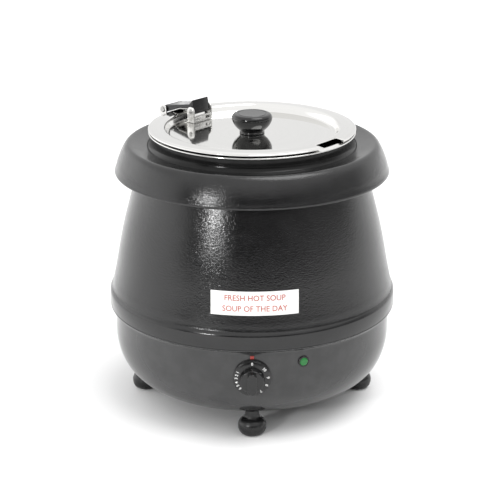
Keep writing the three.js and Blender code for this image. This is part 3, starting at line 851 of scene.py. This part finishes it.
class KETTLE_OT_label(bpy.types.Operator):
    """Make the casing's label, its lettering and the dial's red pointer"""

    bl_idname = "kettle.label"
    bl_label = "Label and pointer"

    def execute(self, context):
        label = context.scene.kettle_label
        lowest, highest = low("label_plate"), high("label_plate")
        centre = (lowest.x + highest.x) / 2
        middle = (lowest.z + highest.z) / 2
        half = Vector(((highest.x - lowest.x) / 2, (highest.z - lowest.z) / 2)) * MM
        sheet = bmesh.new()
        bmesh.ops.create_grid(sheet, x_segments=30, y_segments=6, size=1)
        bmesh.ops.scale(sheet, vec=(half.x, half.y, 1), verts=sheet.verts)
        wrapped(sheet, centre, middle, 1.0)
        walled(sheet, 0.6 * MM)
        beveled(sheet, 0.15)
        finish = printed("Label film", label.paper, 0.42)
        piece(sheet, "label_sheet", "kettle", "label_white", finish, "label_plate")
        rows = []
        for line, height in ((label.first_line, 5.7), (label.second_line, -6.1)):
            row = lettering(line, label.letter * 1.42, 0.08 * MM, 0.1 * MM)
            bmesh.ops.translate(row, vec=(0, height * MM, 0), verts=row.verts)
            rows.append(wrapped(row, centre, middle, 1.04))
        ink = printed("Label ink", label.ink, 0.45)
        piece(together(*rows), "label_words", "kettle", "label_white", ink)
        low_mark, high_mark = low("pointer_mark"), high("pointer_mark")
        mark = block(
            (high_mark.x - low_mark.x, 0.5, high_mark.z - low_mark.z),
            ((high_mark + low_mark) / 2),
        )
        finish = printed("Pointer print", label.pointer, 0.3)
        piece(beveled(mark, 0.12), "pointer_print", "kettle", "pointer_red", finish, "pointer_mark")
        return {"FINISHED"}


class KETTLE_OT_feet(bpy.types.Operator):
    """Make the four rubber feet"""

    bl_idname = "kettle.feet"
    bl_label = "Feet"

    def execute(self, context):
        rubber = plastic(
            "Foot rubber", context.scene.kettle_fittings.rubber, 0.34, depth=0.012, grain=0.0009
        )
        sole = [(0, 1.2), (5.6, 1.2), (6.6, 0), (9.6, 0)]
        bell = [(9.6, 0), (13.4, 1.5), (15.6, 4.8), (16.5, 10.4), (15.7, 14.6), (13.2, 18.2), (10, 20.2)]
        waist = [(10, 20.2), (8.7, 21.6), (8.1, 23.6), (8.0, 26), (8.0, 34)]
        outline = [*sole[:-1], *smooth(bell)[:-1], *smooth(waist), (0, 34)]
        bowl_touch = Vector((FOOT_PITCH, 0, BOWL_FLOOR + 4)) * MM
        bowl_slope = math.radians(21.4)
        for i in range(4):
            foot = turned(outline, SMALL_ROUND)
            bmesh.ops.translate(foot, vec=(FOOT_PITCH * MM, 0, 0), verts=foot.verts)
            split = bmesh.ops.bisect_plane(
                foot,
                geom=foot.verts[:] + foot.edges[:] + foot.faces[:],
                plane_co=bowl_touch,
                plane_no=(-math.sin(bowl_slope), 0, math.cos(bowl_slope)),
                clear_outer=True,
            )
            rim = [e for e in split["geom_cut"] if isinstance(e, bmesh.types.BMEdge)]
            bmesh.ops.edgeloop_fill(foot, edges=rim)
            bmesh.ops.recalc_face_normals(foot, faces=foot.faces)
            beveled(foot, 0.3)
            moved(foot, Matrix.Rotation((i - 1) * math.pi / 2, 4, "Z"))
            piece(foot, f"foot_rubber_{i + 1}", "kettle", "foot_rubber", rubber, f"foot_{i + 1}")
        return {"FINISHED"}


class KETTLE_OT_bath(bpy.types.Operator):
    """Make the water bath pan and finish the heater below it"""

    bl_idname = "kettle.bath"
    bl_label = "Water bath"

    def execute(self, context):
        vessel = context.scene.kettle_vessel
        radius = WELL_RADIUS
        outline = [
            (0, WELL_FLOOR),
            *arc(radius - 12, WELL_FLOOR + 12, 12, -90, 0, 8),
            (radius, 180),
            (radius, WELL_TOP - vessel.sheet / MM - 1.2),
            (radius + 1.2, WELL_TOP - vessel.sheet / MM),
            (NECK_FOOT_RADIUS, WELL_TOP - vessel.sheet / MM),
        ]
        pan = turned(outline)
        bmesh.ops.solidify(pan, geom=pan.faces[:], thickness=vessel.sheet)
        steel = turned_steel("Bath steel", tinted(vessel.steel, 0.86), 0.3, depth=0.002)
        piece(pan, "bath_body", "kettle", "bath_steel", steel, "water_well")
        aluminium = turned_steel("Heater aluminium", (0.58, 0.585, 0.6), 0.42, line=0.0011, depth=0.006)
        refinish(aluminium, "heater_plate", "heat_shield")
        oxide = plastic("Element oxide", (0.07, 0.06, 0.052), 0.55, depth=0.02, contrast=0.5)
        refinish(oxide, "heating_element")
        copper = cut_steel("Capillary copper", (0.72, 0.33, 0.19), 0.3, line=0.0008)
        refinish(copper, "capillary_tube", "sensor_bulb")
        return {"FINISHED"}


class KETTLE_OT_electrics(bpy.types.Operator):
    """Make the cable gland and finish the controls inside the bowl"""

    bl_idname = "kettle.electrics"
    bl_label = "Electrics"

    def execute(self, context):
        black = context.scene.kettle_fittings.black
        finish = plastic("Gland plastic", tinted(black, 1.6), 0.33, depth=0.01)
        bore = 4.5
        dome = [
            (10.9, 4.6),
            (11.0, 6.4),
            (10.4, 8.4),
            (9.2, 12),
            (8.6, 14.6),
            (8.4, GLAND_END - BOWL_RADIUS - 1.6),
            (7.6, GLAND_END - BOWL_RADIUS),
        ]
        thread = [(bore, -18), (7.6, -18), (7.6, 2), (9.4, 2), (9.4, 4.6)]
        body = [*thread, *dome, (bore, GLAND_END - BOWL_RADIUS)]
        parts = [beveled(turned(body, SMALL_ROUND, ring=True), 0.3), beveled(prism(6, 20.6, 0.4, 5.6), 0.5)]
        for rib in range(12):
            ridge = beveled(block((1.1, 1.0, 5), (10.5, 0, 8.6)), 0.25)
            parts.append(moved(ridge, Matrix.Rotation(rib * math.tau / 12, 4, "Z")))
        gland = moved(together(*parts), facing_out(math.pi / 2, BOWL_RADIUS, GLAND_HEIGHT))
        piece(gland, "gland_body", "kettle", "gland_plastic", finish, "cable_gland")
        refinish(finish, "gland_nut")
        control = plastic("Control plastic", (0.022, 0.022, 0.024), 0.42, depth=0.012)
        refinish(control, "thermostat_body", "pilot_lamp_body")
        ceramic = plastic("Ceramic", (0.72, 0.69, 0.6), 0.5, depth=0.015, contrast=0.06)
        refinish(ceramic, "safety_cutout", "terminal_block")
        return {"FINISHED"}


class KETTLE_OT_fixings(bpy.types.Operator):
    """Make the nuts under the bowl and finish the screws and studs"""

    bl_idname = "kettle.fixings"
    bl_label = "Fixings"

    def execute(self, context):
        zinc = cut_steel("Zinc steel", (0.55, 0.56, 0.57), 0.34, line=0.0006, depth=0.004)
        for i in range(1, 4):
            lowest, highest = low(f"base_nut_{i}"), high(f"base_nut_{i}")
            middle = (lowest + highest) / 2
            nut = beveled(prism(6, 7.0, lowest.z, highest.z - 1.0), 0.35)
            washer = beveled(prism(SMALL_ROUND, 7.9, highest.z - 0.9, highest.z), 0.15, angle=60)
            whole = moved(together(nut, washer), Matrix.Translation(Vector((middle.x, middle.y, 0)) * MM))
            piece(whole, f"base_nut_body_{i}", "kettle", "zinc_steel", zinc, f"base_nut_{i}")
        screws = [f"{kind}_{i}" for kind in ("foot_screw", "neck_screw") for i in range(1, 5)]
        studs = [f"tie_stud_{i}" for i in range(1, 4)]
        refinish(zinc, *screws, *studs, "centre_stud", "clamp_nut", "element_clamp")
        refinish(zinc, "dial_spindle", "knob_screw")
        return {"FINISHED"}


class KETTLE_OT_lamp(bpy.types.Operator):
    """Make the pilot lamp's ring and green lens"""

    bl_idname = "kettle.lamp"
    bl_label = "Pilot lamp"

    def execute(self, context):
        fittings = context.scene.kettle_fittings
        place = facing_out(LAMP_AZIMUTH, BOWL_RADIUS, LAMP_HEIGHT)
        ring = turned([(5.0, 0.3), (6.6, 0.3), (6.5, 1.4), (5.9, 2.0), (5.0, 2.0)], SMALL_ROUND, ring=True)
        ring = moved(beveled(ring, 0.15), place)
        black = plastic("Bezel plastic", fittings.black, 0.3)
        piece(ring, "pilot_ring", "kettle", "bezel_plastic", black, "pilot_bezel")
        dome = [(0, -2), (4.8, -2), *smooth([(4.8, 1.6), (4.5, 2.2), (3.6, 2.7), (2.0, 3.0), (0, 3.1)])]
        lens = moved(turned(dome, SMALL_ROUND), place)
        finish = Finish("Green lens", 0.12)
        moulded = finish.effect("Moulded", Grain=0.0012)
        finish.coloured(moulded["Tone"], tinted(fittings.lens, 0.7), tinted(fittings.lens, 1.25))
        finish.roughened(moulded["Height"], 0.04)
        finish.bumped(moulded["Height"], 0.01)
        finish.shader["Emission Color"].default_value = (*fittings.lens, 1)
        finish.shader["Emission Strength"].default_value = 0.06
        piece(lens, "pilot_glass", "kettle", "lens_green", finish.material, "pilot_lens")
        return {"FINISHED"}


class KETTLE_OT_dial(bpy.types.Operator):
    """Make the temperature dial and its numbers"""

    bl_idname = "kettle.dial"
    bl_label = "Dial"

    # Clockwise from the top, for the numbers from 0 up.
    number_angles = (0, 296, 284, 272, 256, 243, 229, 147, 115, 85, 50)
    number_radius = 17.9

    def execute(self, context):
        fittings = context.scene.kettle_fittings
        place = facing_out(-math.pi / 2, -DIAL_BACK, DIAL_HEIGHT)
        rim = DIAL_RADIUS
        skirt = [
            (0, 0.0),
            (rim - 0.4, 0.0),
            *arc(rim - 0.7, 1.3, 0.7, -60, 90, 6),
            (rim - 1.3, 2.2),
            (rim - 1.7, 2.9),
            (14.2, 3.9),
            (0, 3.9),
        ]
        grip = [(0, 3.9), (14.2, 3.9), (13.9, 5.4), (13.4, 12.2), *arc(12.2, 12.2, 1.2, 0, 90, 5), (0, 13.4)]
        disc = beveled(turned(skirt, 96), 0.12)
        boss = turned(grip, 64)
        bar = self.finger_bar(DIAL_DEPTH)
        black = plastic("Dial plastic", fittings.black, 0.24, depth=0.004)
        knob = moved(together(disc, boss, bar), place)
        piece(knob, "dial_body", "dial", "dial_plastic", black, "dial_knob")
        numbers = []
        for number in range(fittings.top_number + 1):
            turn = Matrix.Rotation(-math.radians(self.number_angles[number]), 4, "Z")
            out = Matrix.Translation(Vector((0, self.number_radius, 3.42)) * MM)
            lean = Matrix.Rotation(math.radians(-8.6), 4, "X")
            digit = lettering(str(number), fittings.digit_size, 0.1 * MM, 0.09 * MM)
            numbers.append(moved(digit, place @ turn @ out @ lean))
        white = printed("Dial print", fittings.digits, 0.4)
        piece(together(*numbers), "dial_numbers", "dial", "dial_plastic", white)
        return {"FINISHED"}

    def finger_bar(self, top):
        """The bar that fingers turn, with round ends and eased edges."""
        half_length, half_width = 13.0, 5.2
        ends = arc(0, half_length - half_width, half_width, 0, 180, 14)
        far = arc(0, -half_length + half_width, half_width, 180, 360, 14)
        bar = plate([*ends, *far], top - 6)
        upright = Matrix.Rotation(-math.pi / 2, 4, "X")
        moved(bar, Matrix.Translation(Vector((0, 0, 3 + top / 2)) * MM) @ upright)
        return beveled(bar, 0.9, segments=4)


class KETTLE_OT_pot(bpy.types.Operator):
    """Make the lift-out pot with its rolled rim"""

    bl_idname = "kettle.pot"
    bl_label = "Pot"

    def execute(self, context):
        vessel = context.scene.kettle_vessel
        radius = POT_RADIUS
        rim = POT_RIM_RADIUS
        roll = 1.2
        outline = [
            (0, POT_FLOOR),
            *arc(radius - 16, POT_FLOOR + 16, 16, -90, 0, 10),
            (radius, 200),
            (radius, POT_RIM - 7),
            *smooth(
                [
                    (radius, POT_RIM - 5.2),
                    (113.7, POT_RIM - 2.6),
                    (114.9, POT_RIM - 1.3),
                    (116.2, POT_RIM - 1.2),
                    (118.2, POT_RIM - 1.8),
                    (120.2, POT_RIM - 2.9),
                ]
            ),
        ]
        shape = turned(outline)
        bmesh.ops.solidify(shape, geom=shape.faces[:], thickness=vessel.sheet)
        edge = turned(arc(rim - roll, POT_RIM - roll - 1.9, roll, 0, 345, 15), ring=True)
        steel = turned_steel("Pot steel", tinted(vessel.steel, 0.96), 0.16, depth=0.0012)
        piece(together(shape, edge), "pot_body", "pot", "pot_steel", steel, "inner_pot")
        return {"FINISHED"}


class KETTLE_OT_lid(bpy.types.Operator):
    """Make the polished lid with its ladle notch"""

    bl_idname = "kettle.lid"
    bl_label = "Lid"

    def execute(self, context):
        vessel = context.scene.kettle_vessel
        bead = smooth(
            [
                (LID_RADIUS, LID_LIP),
                (LID_RADIUS - 0.05, LID_LIP + 0.9),
                (LID_RADIUS - 0.7, LID_LIP + 1.5),
                (LID_RADIUS - 1.9, LID_LIP + 1.7),
                (LID_RADIUS - 2.9, LID_LIP + 1.5),
            ]
        )
        crest = smooth(
            [
                (LID_RADIUS - 3.5, LID_LIP + 1.7),
                (LID_RADIUS - 5.2, LID_LIP + 2.0),
                (112, LID_CREST - 0.4),
                (107, LID_CREST - 0.15),
                (104.6, LID_CREST - 0.05),
                (102.7, 333.4),
                (101.2, 331.5),
                (99.6, 328.4),
                (98.2, LID_PANEL + 0.9),
                (95.6, LID_PANEL + 0.1),
                (93, LID_PANEL),
            ]
        )
        lid = turned([*bead, *crest, (60, LID_PANEL), (25, LID_PANEL), (0, LID_PANEL)])
        self.cut_notch(lid, vessel.notch)
        walled(lid, vessel.sheet)
        beveled(lid, 0.25, angle=60)
        steel = turned_steel(
            "Lid steel", vessel.steel, vessel.polish, line=0.0005, depth=0.00015, contrast=0.012
        )
        piece(lid, "lid_body", "lid", "lid_steel", steel, "lid_panel")
        return {"FINISHED"}

    def cut_notch(self, lid, width):
        """Opens a slot for the ladle's handle from the rim inwards."""
        start = 108 * MM
        moved(lid, Matrix.Rotation(-NOTCH_AZIMUTH, 4, "Z"))
        planes = (
            ((0, width / 2, 0), (0, 1, 0)),
            ((0, -width / 2, 0), (0, 1, 0)),
            ((start, 0, 0), (1, 0, 0)),
        )
        for point, direction in planes:
            near = [f for f in lid.faces if f.calc_center_median().x > 80 * MM]
            edges = {e for f in near for e in f.edges}
            verts = {v for f in near for v in f.verts}
            bmesh.ops.bisect_plane(
                lid, geom=[*verts, *edges, *near], dist=1e-7, plane_co=point, plane_no=direction
            )
        gone = []
        for face in lid.faces:
            middle = face.calc_center_median()
            if middle.x > start and abs(middle.y) < width / 2:
                gone.append(face)
        bmesh.ops.delete(lid, geom=gone, context="FACES")
        moved(lid, Matrix.Rotation(NOTCH_AZIMUTH, 4, "Z"))


class KETTLE_OT_knob(bpy.types.Operator):
    """Make the lid's black knob"""

    bl_idname = "kettle.knob"
    bl_label = "Lid knob"

    def execute(self, context):
        base = low("lid_knob").z
        cup = smooth(
            [
                (14.8, base + 0.5),
                (14.6, base + 2.2),
                (15.6, 329.6),
                (18.6, 332.6),
                (21.2, 336),
                (23.2, 340.4),
                (KNOB_RADIUS, 344.2),
                (23.2, 346.6),
                (21.6, 348.3),
                (19.2, KNOB_TOP),
            ],
            6,
        )
        groove = [(17.6, KNOB_TOP), (17.2, KNOB_TOP - 0.45), (16.6, KNOB_TOP - 0.45), (16.2, KNOB_TOP)]
        outline = [(0, base), (14.3, base), *cup, *groove, (8, KNOB_TOP - 0.1), (0, KNOB_TOP - 0.1)]
        shape = beveled(turned(outline, 96), 0.12, angle=50)
        finish = plastic("Knob plastic", context.scene.kettle_fittings.black, 0.13, depth=0.0015)
        piece(shape, "knob_body", "lid", "knob_plastic", finish, "lid_knob")
        return {"FINISHED"}


class KETTLE_OT_hinge(bpy.types.Operator):
    """Make the hinge: rim bracket, pins, arm with its strip, lid bracket and rivets"""

    bl_idname = "kettle.hinge"
    bl_label = "Hinge"

    # In the hinge's own plane: distance from the kettle's axis, and height.
    outer_pivot = (130.5, 334.5)
    inner_pivot = (84.0, 339.4)
    ear_bend = 5.5
    ear_sheet = 1.6
    ear_inside = 14.4
    arm_width = 27.2

    def execute(self, context):
        vessel = context.scene.kettle_vessel
        steel = cut_steel("Bracket steel", tinted(vessel.steel, 0.94), 0.32, depth=0.0015)
        dark = cut_steel("Pin steel", tinted(vessel.steel, 0.5), 0.3, depth=0.0015)
        black = plastic("Hinge plastic", context.scene.kettle_fittings.black, 0.22, depth=0.004)
        self.add("rim_bracket_body", self.rim_bracket(), "pot", "bracket_steel", steel, "rim_bracket")
        self.add(
            "outer_pin", self.pin(2.5, 17.1, 3.9, self.outer_pivot), "pot", "bracket_steel", dark,
            "outer_hinge_pin",
        )
        self.add("arm_body", self.arm(), "hinge_link", "hinge_plastic", black, "hinge_arm")
        strip = plate([*self.strip_line(0), *reversed(self.strip_line(0.8))], self.arm_width - 2)
        self.add("arm_strip", beveled(strip, 0.15), "hinge_link", "bracket_steel", steel, "hinge_strip")
        self.add(
            "inner_pin", self.pin(2.0, 16.9, 3.2, self.inner_pivot), "lid", "bracket_steel", dark,
            "inner_hinge_pin",
        )
        self.add("lid_bracket_body", self.lid_bracket(), "lid", "bracket_steel", steel, "lid_bracket")
        shank = [(0, -0.6), (1.5, -0.6), (1.5, 1.6), (2.8, 1.6)]
        dome = [*shank, *smooth([(2.8, 1.8), (2.3, 2.5), (1.3, 2.85), (0, 2.9)])]
        for i, side in enumerate((-RIVET_OFFSET, RIVET_OFFSET), 1):
            rivet = turned(dome, SMALL_ROUND)
            out = Matrix.Translation(Vector((122.9, side, 327)) * MM) @ Matrix.Rotation(math.pi / 2, 4, "Y")
            self.add(f"rim_rivet_head_{i}", moved(rivet, out), "pot", "zinc_steel", steel, f"rim_rivet_{i}")
            base = LID_PANEL + 0.3 + 1.4
            flat = [(0, LID_PANEL - 2.6), (1.8, LID_PANEL - 2.6), (1.8, base), (3.3, base)]
            flat += smooth([(3.3, base + 0.4), (2.7, base + 1.2), (1.5, base + 1.75), (0, base + 1.9)])
            cap = moved(turned(flat, SMALL_ROUND), Matrix.Translation(Vector((90.4, side, 0)) * MM))
            self.add(f"lid_rivet_head_{i}", cap, "lid", "zinc_steel", steel, f"lid_rivet_{i}")
        return {"FINISHED"}

    def add(self, name, bm, body, slot, finish, *nodes):
        """Turns a shape from the hinge's own plane to its place and finishes it."""
        piece(moved(bm, Matrix.Rotation(HINGE_AZIMUTH, 4, "Z")), name, body, slot, finish, *nodes)

    def pin(self, radius, reach, head, pivot):
        """A pin with a riveted head at each end."""
        outline = [
            (0, -reach - 0.1),
            (head - 1.2, -reach),
            (head - 0.3, -reach + 0.5),
            (head - 0.2, -reach + 1.0),
            (radius, -reach + 1.05),
            (radius, reach - 1.05),
            (head - 0.2, reach - 1.0),
            (head - 0.3, reach - 0.5),
            (head - 1.2, reach),
            (0, reach + 0.1),
        ]
        return cross_pin(outline, *pivot)

    def ears(self, outline):
        """A pair of like ears, one at each side of the arm."""
        middle = self.ear_inside + self.ear_sheet / 2
        return [beveled(plate(outline, self.ear_sheet, side), 0.3) for side in (-middle, middle)]

    def rim_bracket(self):
        x, z = self.outer_pivot
        ear = [
            (122.7, 323.5),
            *arc(130.0, 325.0, 1.5, -90, -20, 4),
            (x + self.ear_bend, 328.6),
            *arc(x, z, self.ear_bend, 0, 180, 20),
            (x - self.ear_bend, 331.4),
            *arc(x - self.ear_bend - 1.6, 331.6, 1.4, 0, -90, 4),
            (122.7, 330.2),
        ]
        width = 2 * (self.ear_inside + self.ear_sheet)
        web = beveled(block((1.4, width - 0.6, 6.9), (123.4, 0, 327)), 0.4)
        return together(web, *self.ears(ear))

    def lid_bracket(self):
        x, z = self.inner_pivot
        base = LID_PANEL + 0.3
        ear = [(x - self.ear_bend, base), (x + self.ear_bend, base), *arc(x, z, self.ear_bend, 0, 180, 20)]
        width = 2 * (self.ear_inside + self.ear_sheet)
        foot = beveled(block((16.1, width - 0.6, 1.4), (86.55, 0, base + 0.7)), 0.35)
        bars = [
            block((1.4, width - 0.6, 2.6), (79.2, 0, base + 1.3)),
            block((1.4, width - 0.6, 2.4), (79.2, 0, base + 7.2)),
            block((1.4, 3.6, 5), (79.2, -13.4, base + 4.2)),
            block((1.4, 20.2, 5), (79.2, 5.4, base + 4.2)),
        ]
        return together(foot, *[beveled(bar, 0.3) for bar in bars], *self.ears(ear))

    def arm(self):
        """The plastic arm, thick at the pot's rim and ending in a wedge over the lid."""
        x, z = self.outer_pivot
        outline = [
            *arc(x, z, 4.5, 100, -100, 16),
            (125.6, 332),
            (105.6, 339.9),
            (91.4, 341.9),
            (88.2, 335.7),
            (81, 335.7),
            (79.8, 337.2),
            (83.2, 353.1),
            (88.8, 347.2),
        ]
        return beveled(plate(outline, self.arm_width), 0.7, segments=3)

    def strip_line(self, depth):
        """One face of the steel strip under the arm."""
        return [(117, 334.7 - depth), (105.7, 339.4 - depth), (91.9, 341.4 - depth)]


class KETTLE_OT_stage(bpy.types.Operator):
    """Set the pale floor, the lights, the white room and the camera"""

    bl_idname = "kettle.stage"
    bl_label = "Stage"

    # Degrees clockwise from straight behind the kettle, and brightness there, low down.
    room_light = (
        (-180, 0.02),
        (-128, 0.03),
        (-110, 1.5),
        (-92, 1.8),
        (-60, 2.0),
        (-20, 1.03),
        (24, 1.0),
        (60, 1.35),
        (72, 0.9),
        (82, 0.5),
        (104, 0.45),
        (135, 0.33),
        (160, 0.06),
    )
    ceiling_starts = math.radians(21)
    ceiling_full = math.radians(29)

    def execute(self, context):
        studio = context.scene.kettle_studio
        context.scene.view_settings.view_transform = "Standard"
        self.floor(studio)
        self.room(context.scene, studio)
        self.lights(studio)
        self.camera(context.scene, studio)
        return {"FINISHED"}

    def floor(self, studio):
        bm = bmesh.new()
        bmesh.ops.create_grid(bm, x_segments=8, y_segments=8, size=studio.floor)
        mesh = bpy.data.meshes.new("studio_floor")
        bm.to_mesh(mesh)
        bm.free()
        finish = Finish("Studio floor", 0.8, specular=0.2)
        moulded = finish.effect("Moulded", Grain=0.4)
        finish.coloured(moulded["Tone"], tinted(studio.floor_colour, 0.99), studio.floor_colour)
        finish.roughened(moulded["Height"], 0.05)
        mesh.materials.append(finish.material)
        floor = bpy.data.objects.new("studio_floor", mesh)
        bpy.context.scene.collection.objects.link(floor)

    def room(self, scene, studio):
        """A white room that is dark low down in front of the kettle."""
        world = bpy.data.worlds.new("White room")
        scene.world = world
        world.use_nodes = True
        tree = world.node_tree
        nodes, links = tree.nodes, tree.links
        parts = nodes.new("ShaderNodeSeparateXYZ")
        links.new(nodes.new("ShaderNodeTexCoord").outputs["Generated"], parts.inputs[0])
        angle = nodes.new("ShaderNodeMath")
        angle.operation = "ARCTAN2"
        links.new(parts.outputs["X"], angle.inputs[0])
        links.new(parts.outputs["Y"], angle.inputs[1])
        ramp = nodes.new("ShaderNodeValToRGB")
        turn = nodes.new("ShaderNodeMapRange")
        turn.inputs["From Min"].default_value = -math.pi
        turn.inputs["From Max"].default_value = math.pi
        links.new(angle.outputs[0], turn.inputs["Value"])
        links.new(turn.outputs[0], ramp.inputs["Fac"])
        ramp.color_ramp.interpolation = "LINEAR"
        for _ in range(len(self.room_light) - 2):
            ramp.color_ramp.elements.new(0.5)
        for stop, (degrees, light) in zip(ramp.color_ramp.elements, self.room_light):
            stop.position = (degrees + 180) / 360
            stop.color = (light, light, light, 1)
        height = nodes.new("ShaderNodeMapRange")
        height.interpolation_type = "SMOOTHSTEP"
        height.inputs["From Min"].default_value = math.sin(self.ceiling_starts)
        height.inputs["From Max"].default_value = math.sin(self.ceiling_full)
        links.new(parts.outputs["Z"], height.inputs["Value"])
        mix = nodes.new("ShaderNodeMix")
        mix.data_type = "RGBA"
        mix.inputs[7].default_value = (studio.ceiling, studio.ceiling, studio.ceiling, 1)
        links.new(height.outputs[0], mix.inputs["Factor"])
        links.new(ramp.outputs["Color"], mix.inputs[6])
        background = nodes["Background"]
        links.new(mix.outputs[2], background.inputs["Color"])
        background.inputs["Strength"].default_value = studio.room

    def lights(self, studio):
        self.lamp("Key light", "AREA", (-1.12, -1.66, 0.75), (0, -0.1, 0.24), studio.key_power, 0.16)
        top = self.lamp("Top light", "SUN", (0.9, -0.35, 3), (0, 0, 0.2), studio.sun_power, 0.1)
        top.data.angle = math.radians(40)

    def lamp(self, name, kind, place, target, power, size):
        light = bpy.data.lights.new(name, kind)
        light.energy = power
        if kind == "AREA":
            light.size = size
        lamp = bpy.data.objects.new(name, light)
        lamp.location = place
        aim = Vector(target) - Vector(place)
        lamp.rotation_euler = aim.to_track_quat("-Z", "Y").to_euler()
        bpy.context.scene.collection.objects.link(lamp)
        return lamp

    def camera(self, scene, studio):
        data = bpy.data.cameras.new("Camera")
        data.lens = studio.lens
        data.sensor_width = 36
        camera = bpy.data.objects.new("Camera", data)
        back = Vector((0, -math.cos(studio.elevation), math.sin(studio.elevation)))
        camera.location = Vector(studio.target) + back * studio.distance
        camera.rotation_euler = (math.pi / 2 - studio.elevation, 0, 0)
        scene.collection.objects.link(camera)
        scene.camera = camera


class KETTLE_PT_panel(bpy.types.Panel):
    """Lists the kettle's settings and its operators"""

    bl_idname = "KETTLE_PT_panel"
    bl_label = "Soup kettle"
    bl_space_type = "VIEW_3D"
    bl_region_type = "UI"
    bl_category = "Kettle"

    def draw(self, context):
        for name in SETTINGS:
            settings = getattr(context.scene, name)
            box = self.layout.box()
            for prop in settings.__annotations__:
                box.prop(settings, prop)
        for operator in OPERATORS:
            self.layout.operator(operator.bl_idname)


SETTINGS = {
    "kettle_casing": CasingSettings,
    "kettle_label": LabelSettings,
    "kettle_vessel": VesselSettings,
    "kettle_fittings": FittingSettings,
    "kettle_studio": StudioSettings,
}

OPERATORS = (
    KETTLE_OT_effects,
    KETTLE_OT_bowl,
    KETTLE_OT_casing,
    KETTLE_OT_collar,
    KETTLE_OT_neck,
    KETTLE_OT_label,
    KETTLE_OT_feet,
    KETTLE_OT_bath,
    KETTLE_OT_electrics,
    KETTLE_OT_fixings,
    KETTLE_OT_lamp,
    KETTLE_OT_dial,
    KETTLE_OT_pot,
    KETTLE_OT_lid,
    KETTLE_OT_knob,
    KETTLE_OT_hinge,
    KETTLE_OT_stage,
)


def register():
    for cls in (*SETTINGS.values(), *OPERATORS, KETTLE_PT_panel):
        bpy.utils.register_class(cls)
    for name, settings in SETTINGS.items():
        setattr(bpy.types.Scene, name, PointerProperty(type=settings))


def unregister():
    for name in SETTINGS:
        delattr(bpy.types.Scene, name)
    for cls in (KETTLE_PT_panel, *reversed(OPERATORS), *reversed(SETTINGS.values())):
        bpy.utils.unregister_class(cls)


def main():
    """Builds every piece in order."""
    register()
    for operator in OPERATORS:
        family, name = operator.bl_idname.split(".")
        getattr(getattr(bpy.ops, family), name)()


if __name__ == "__main__":
    main()
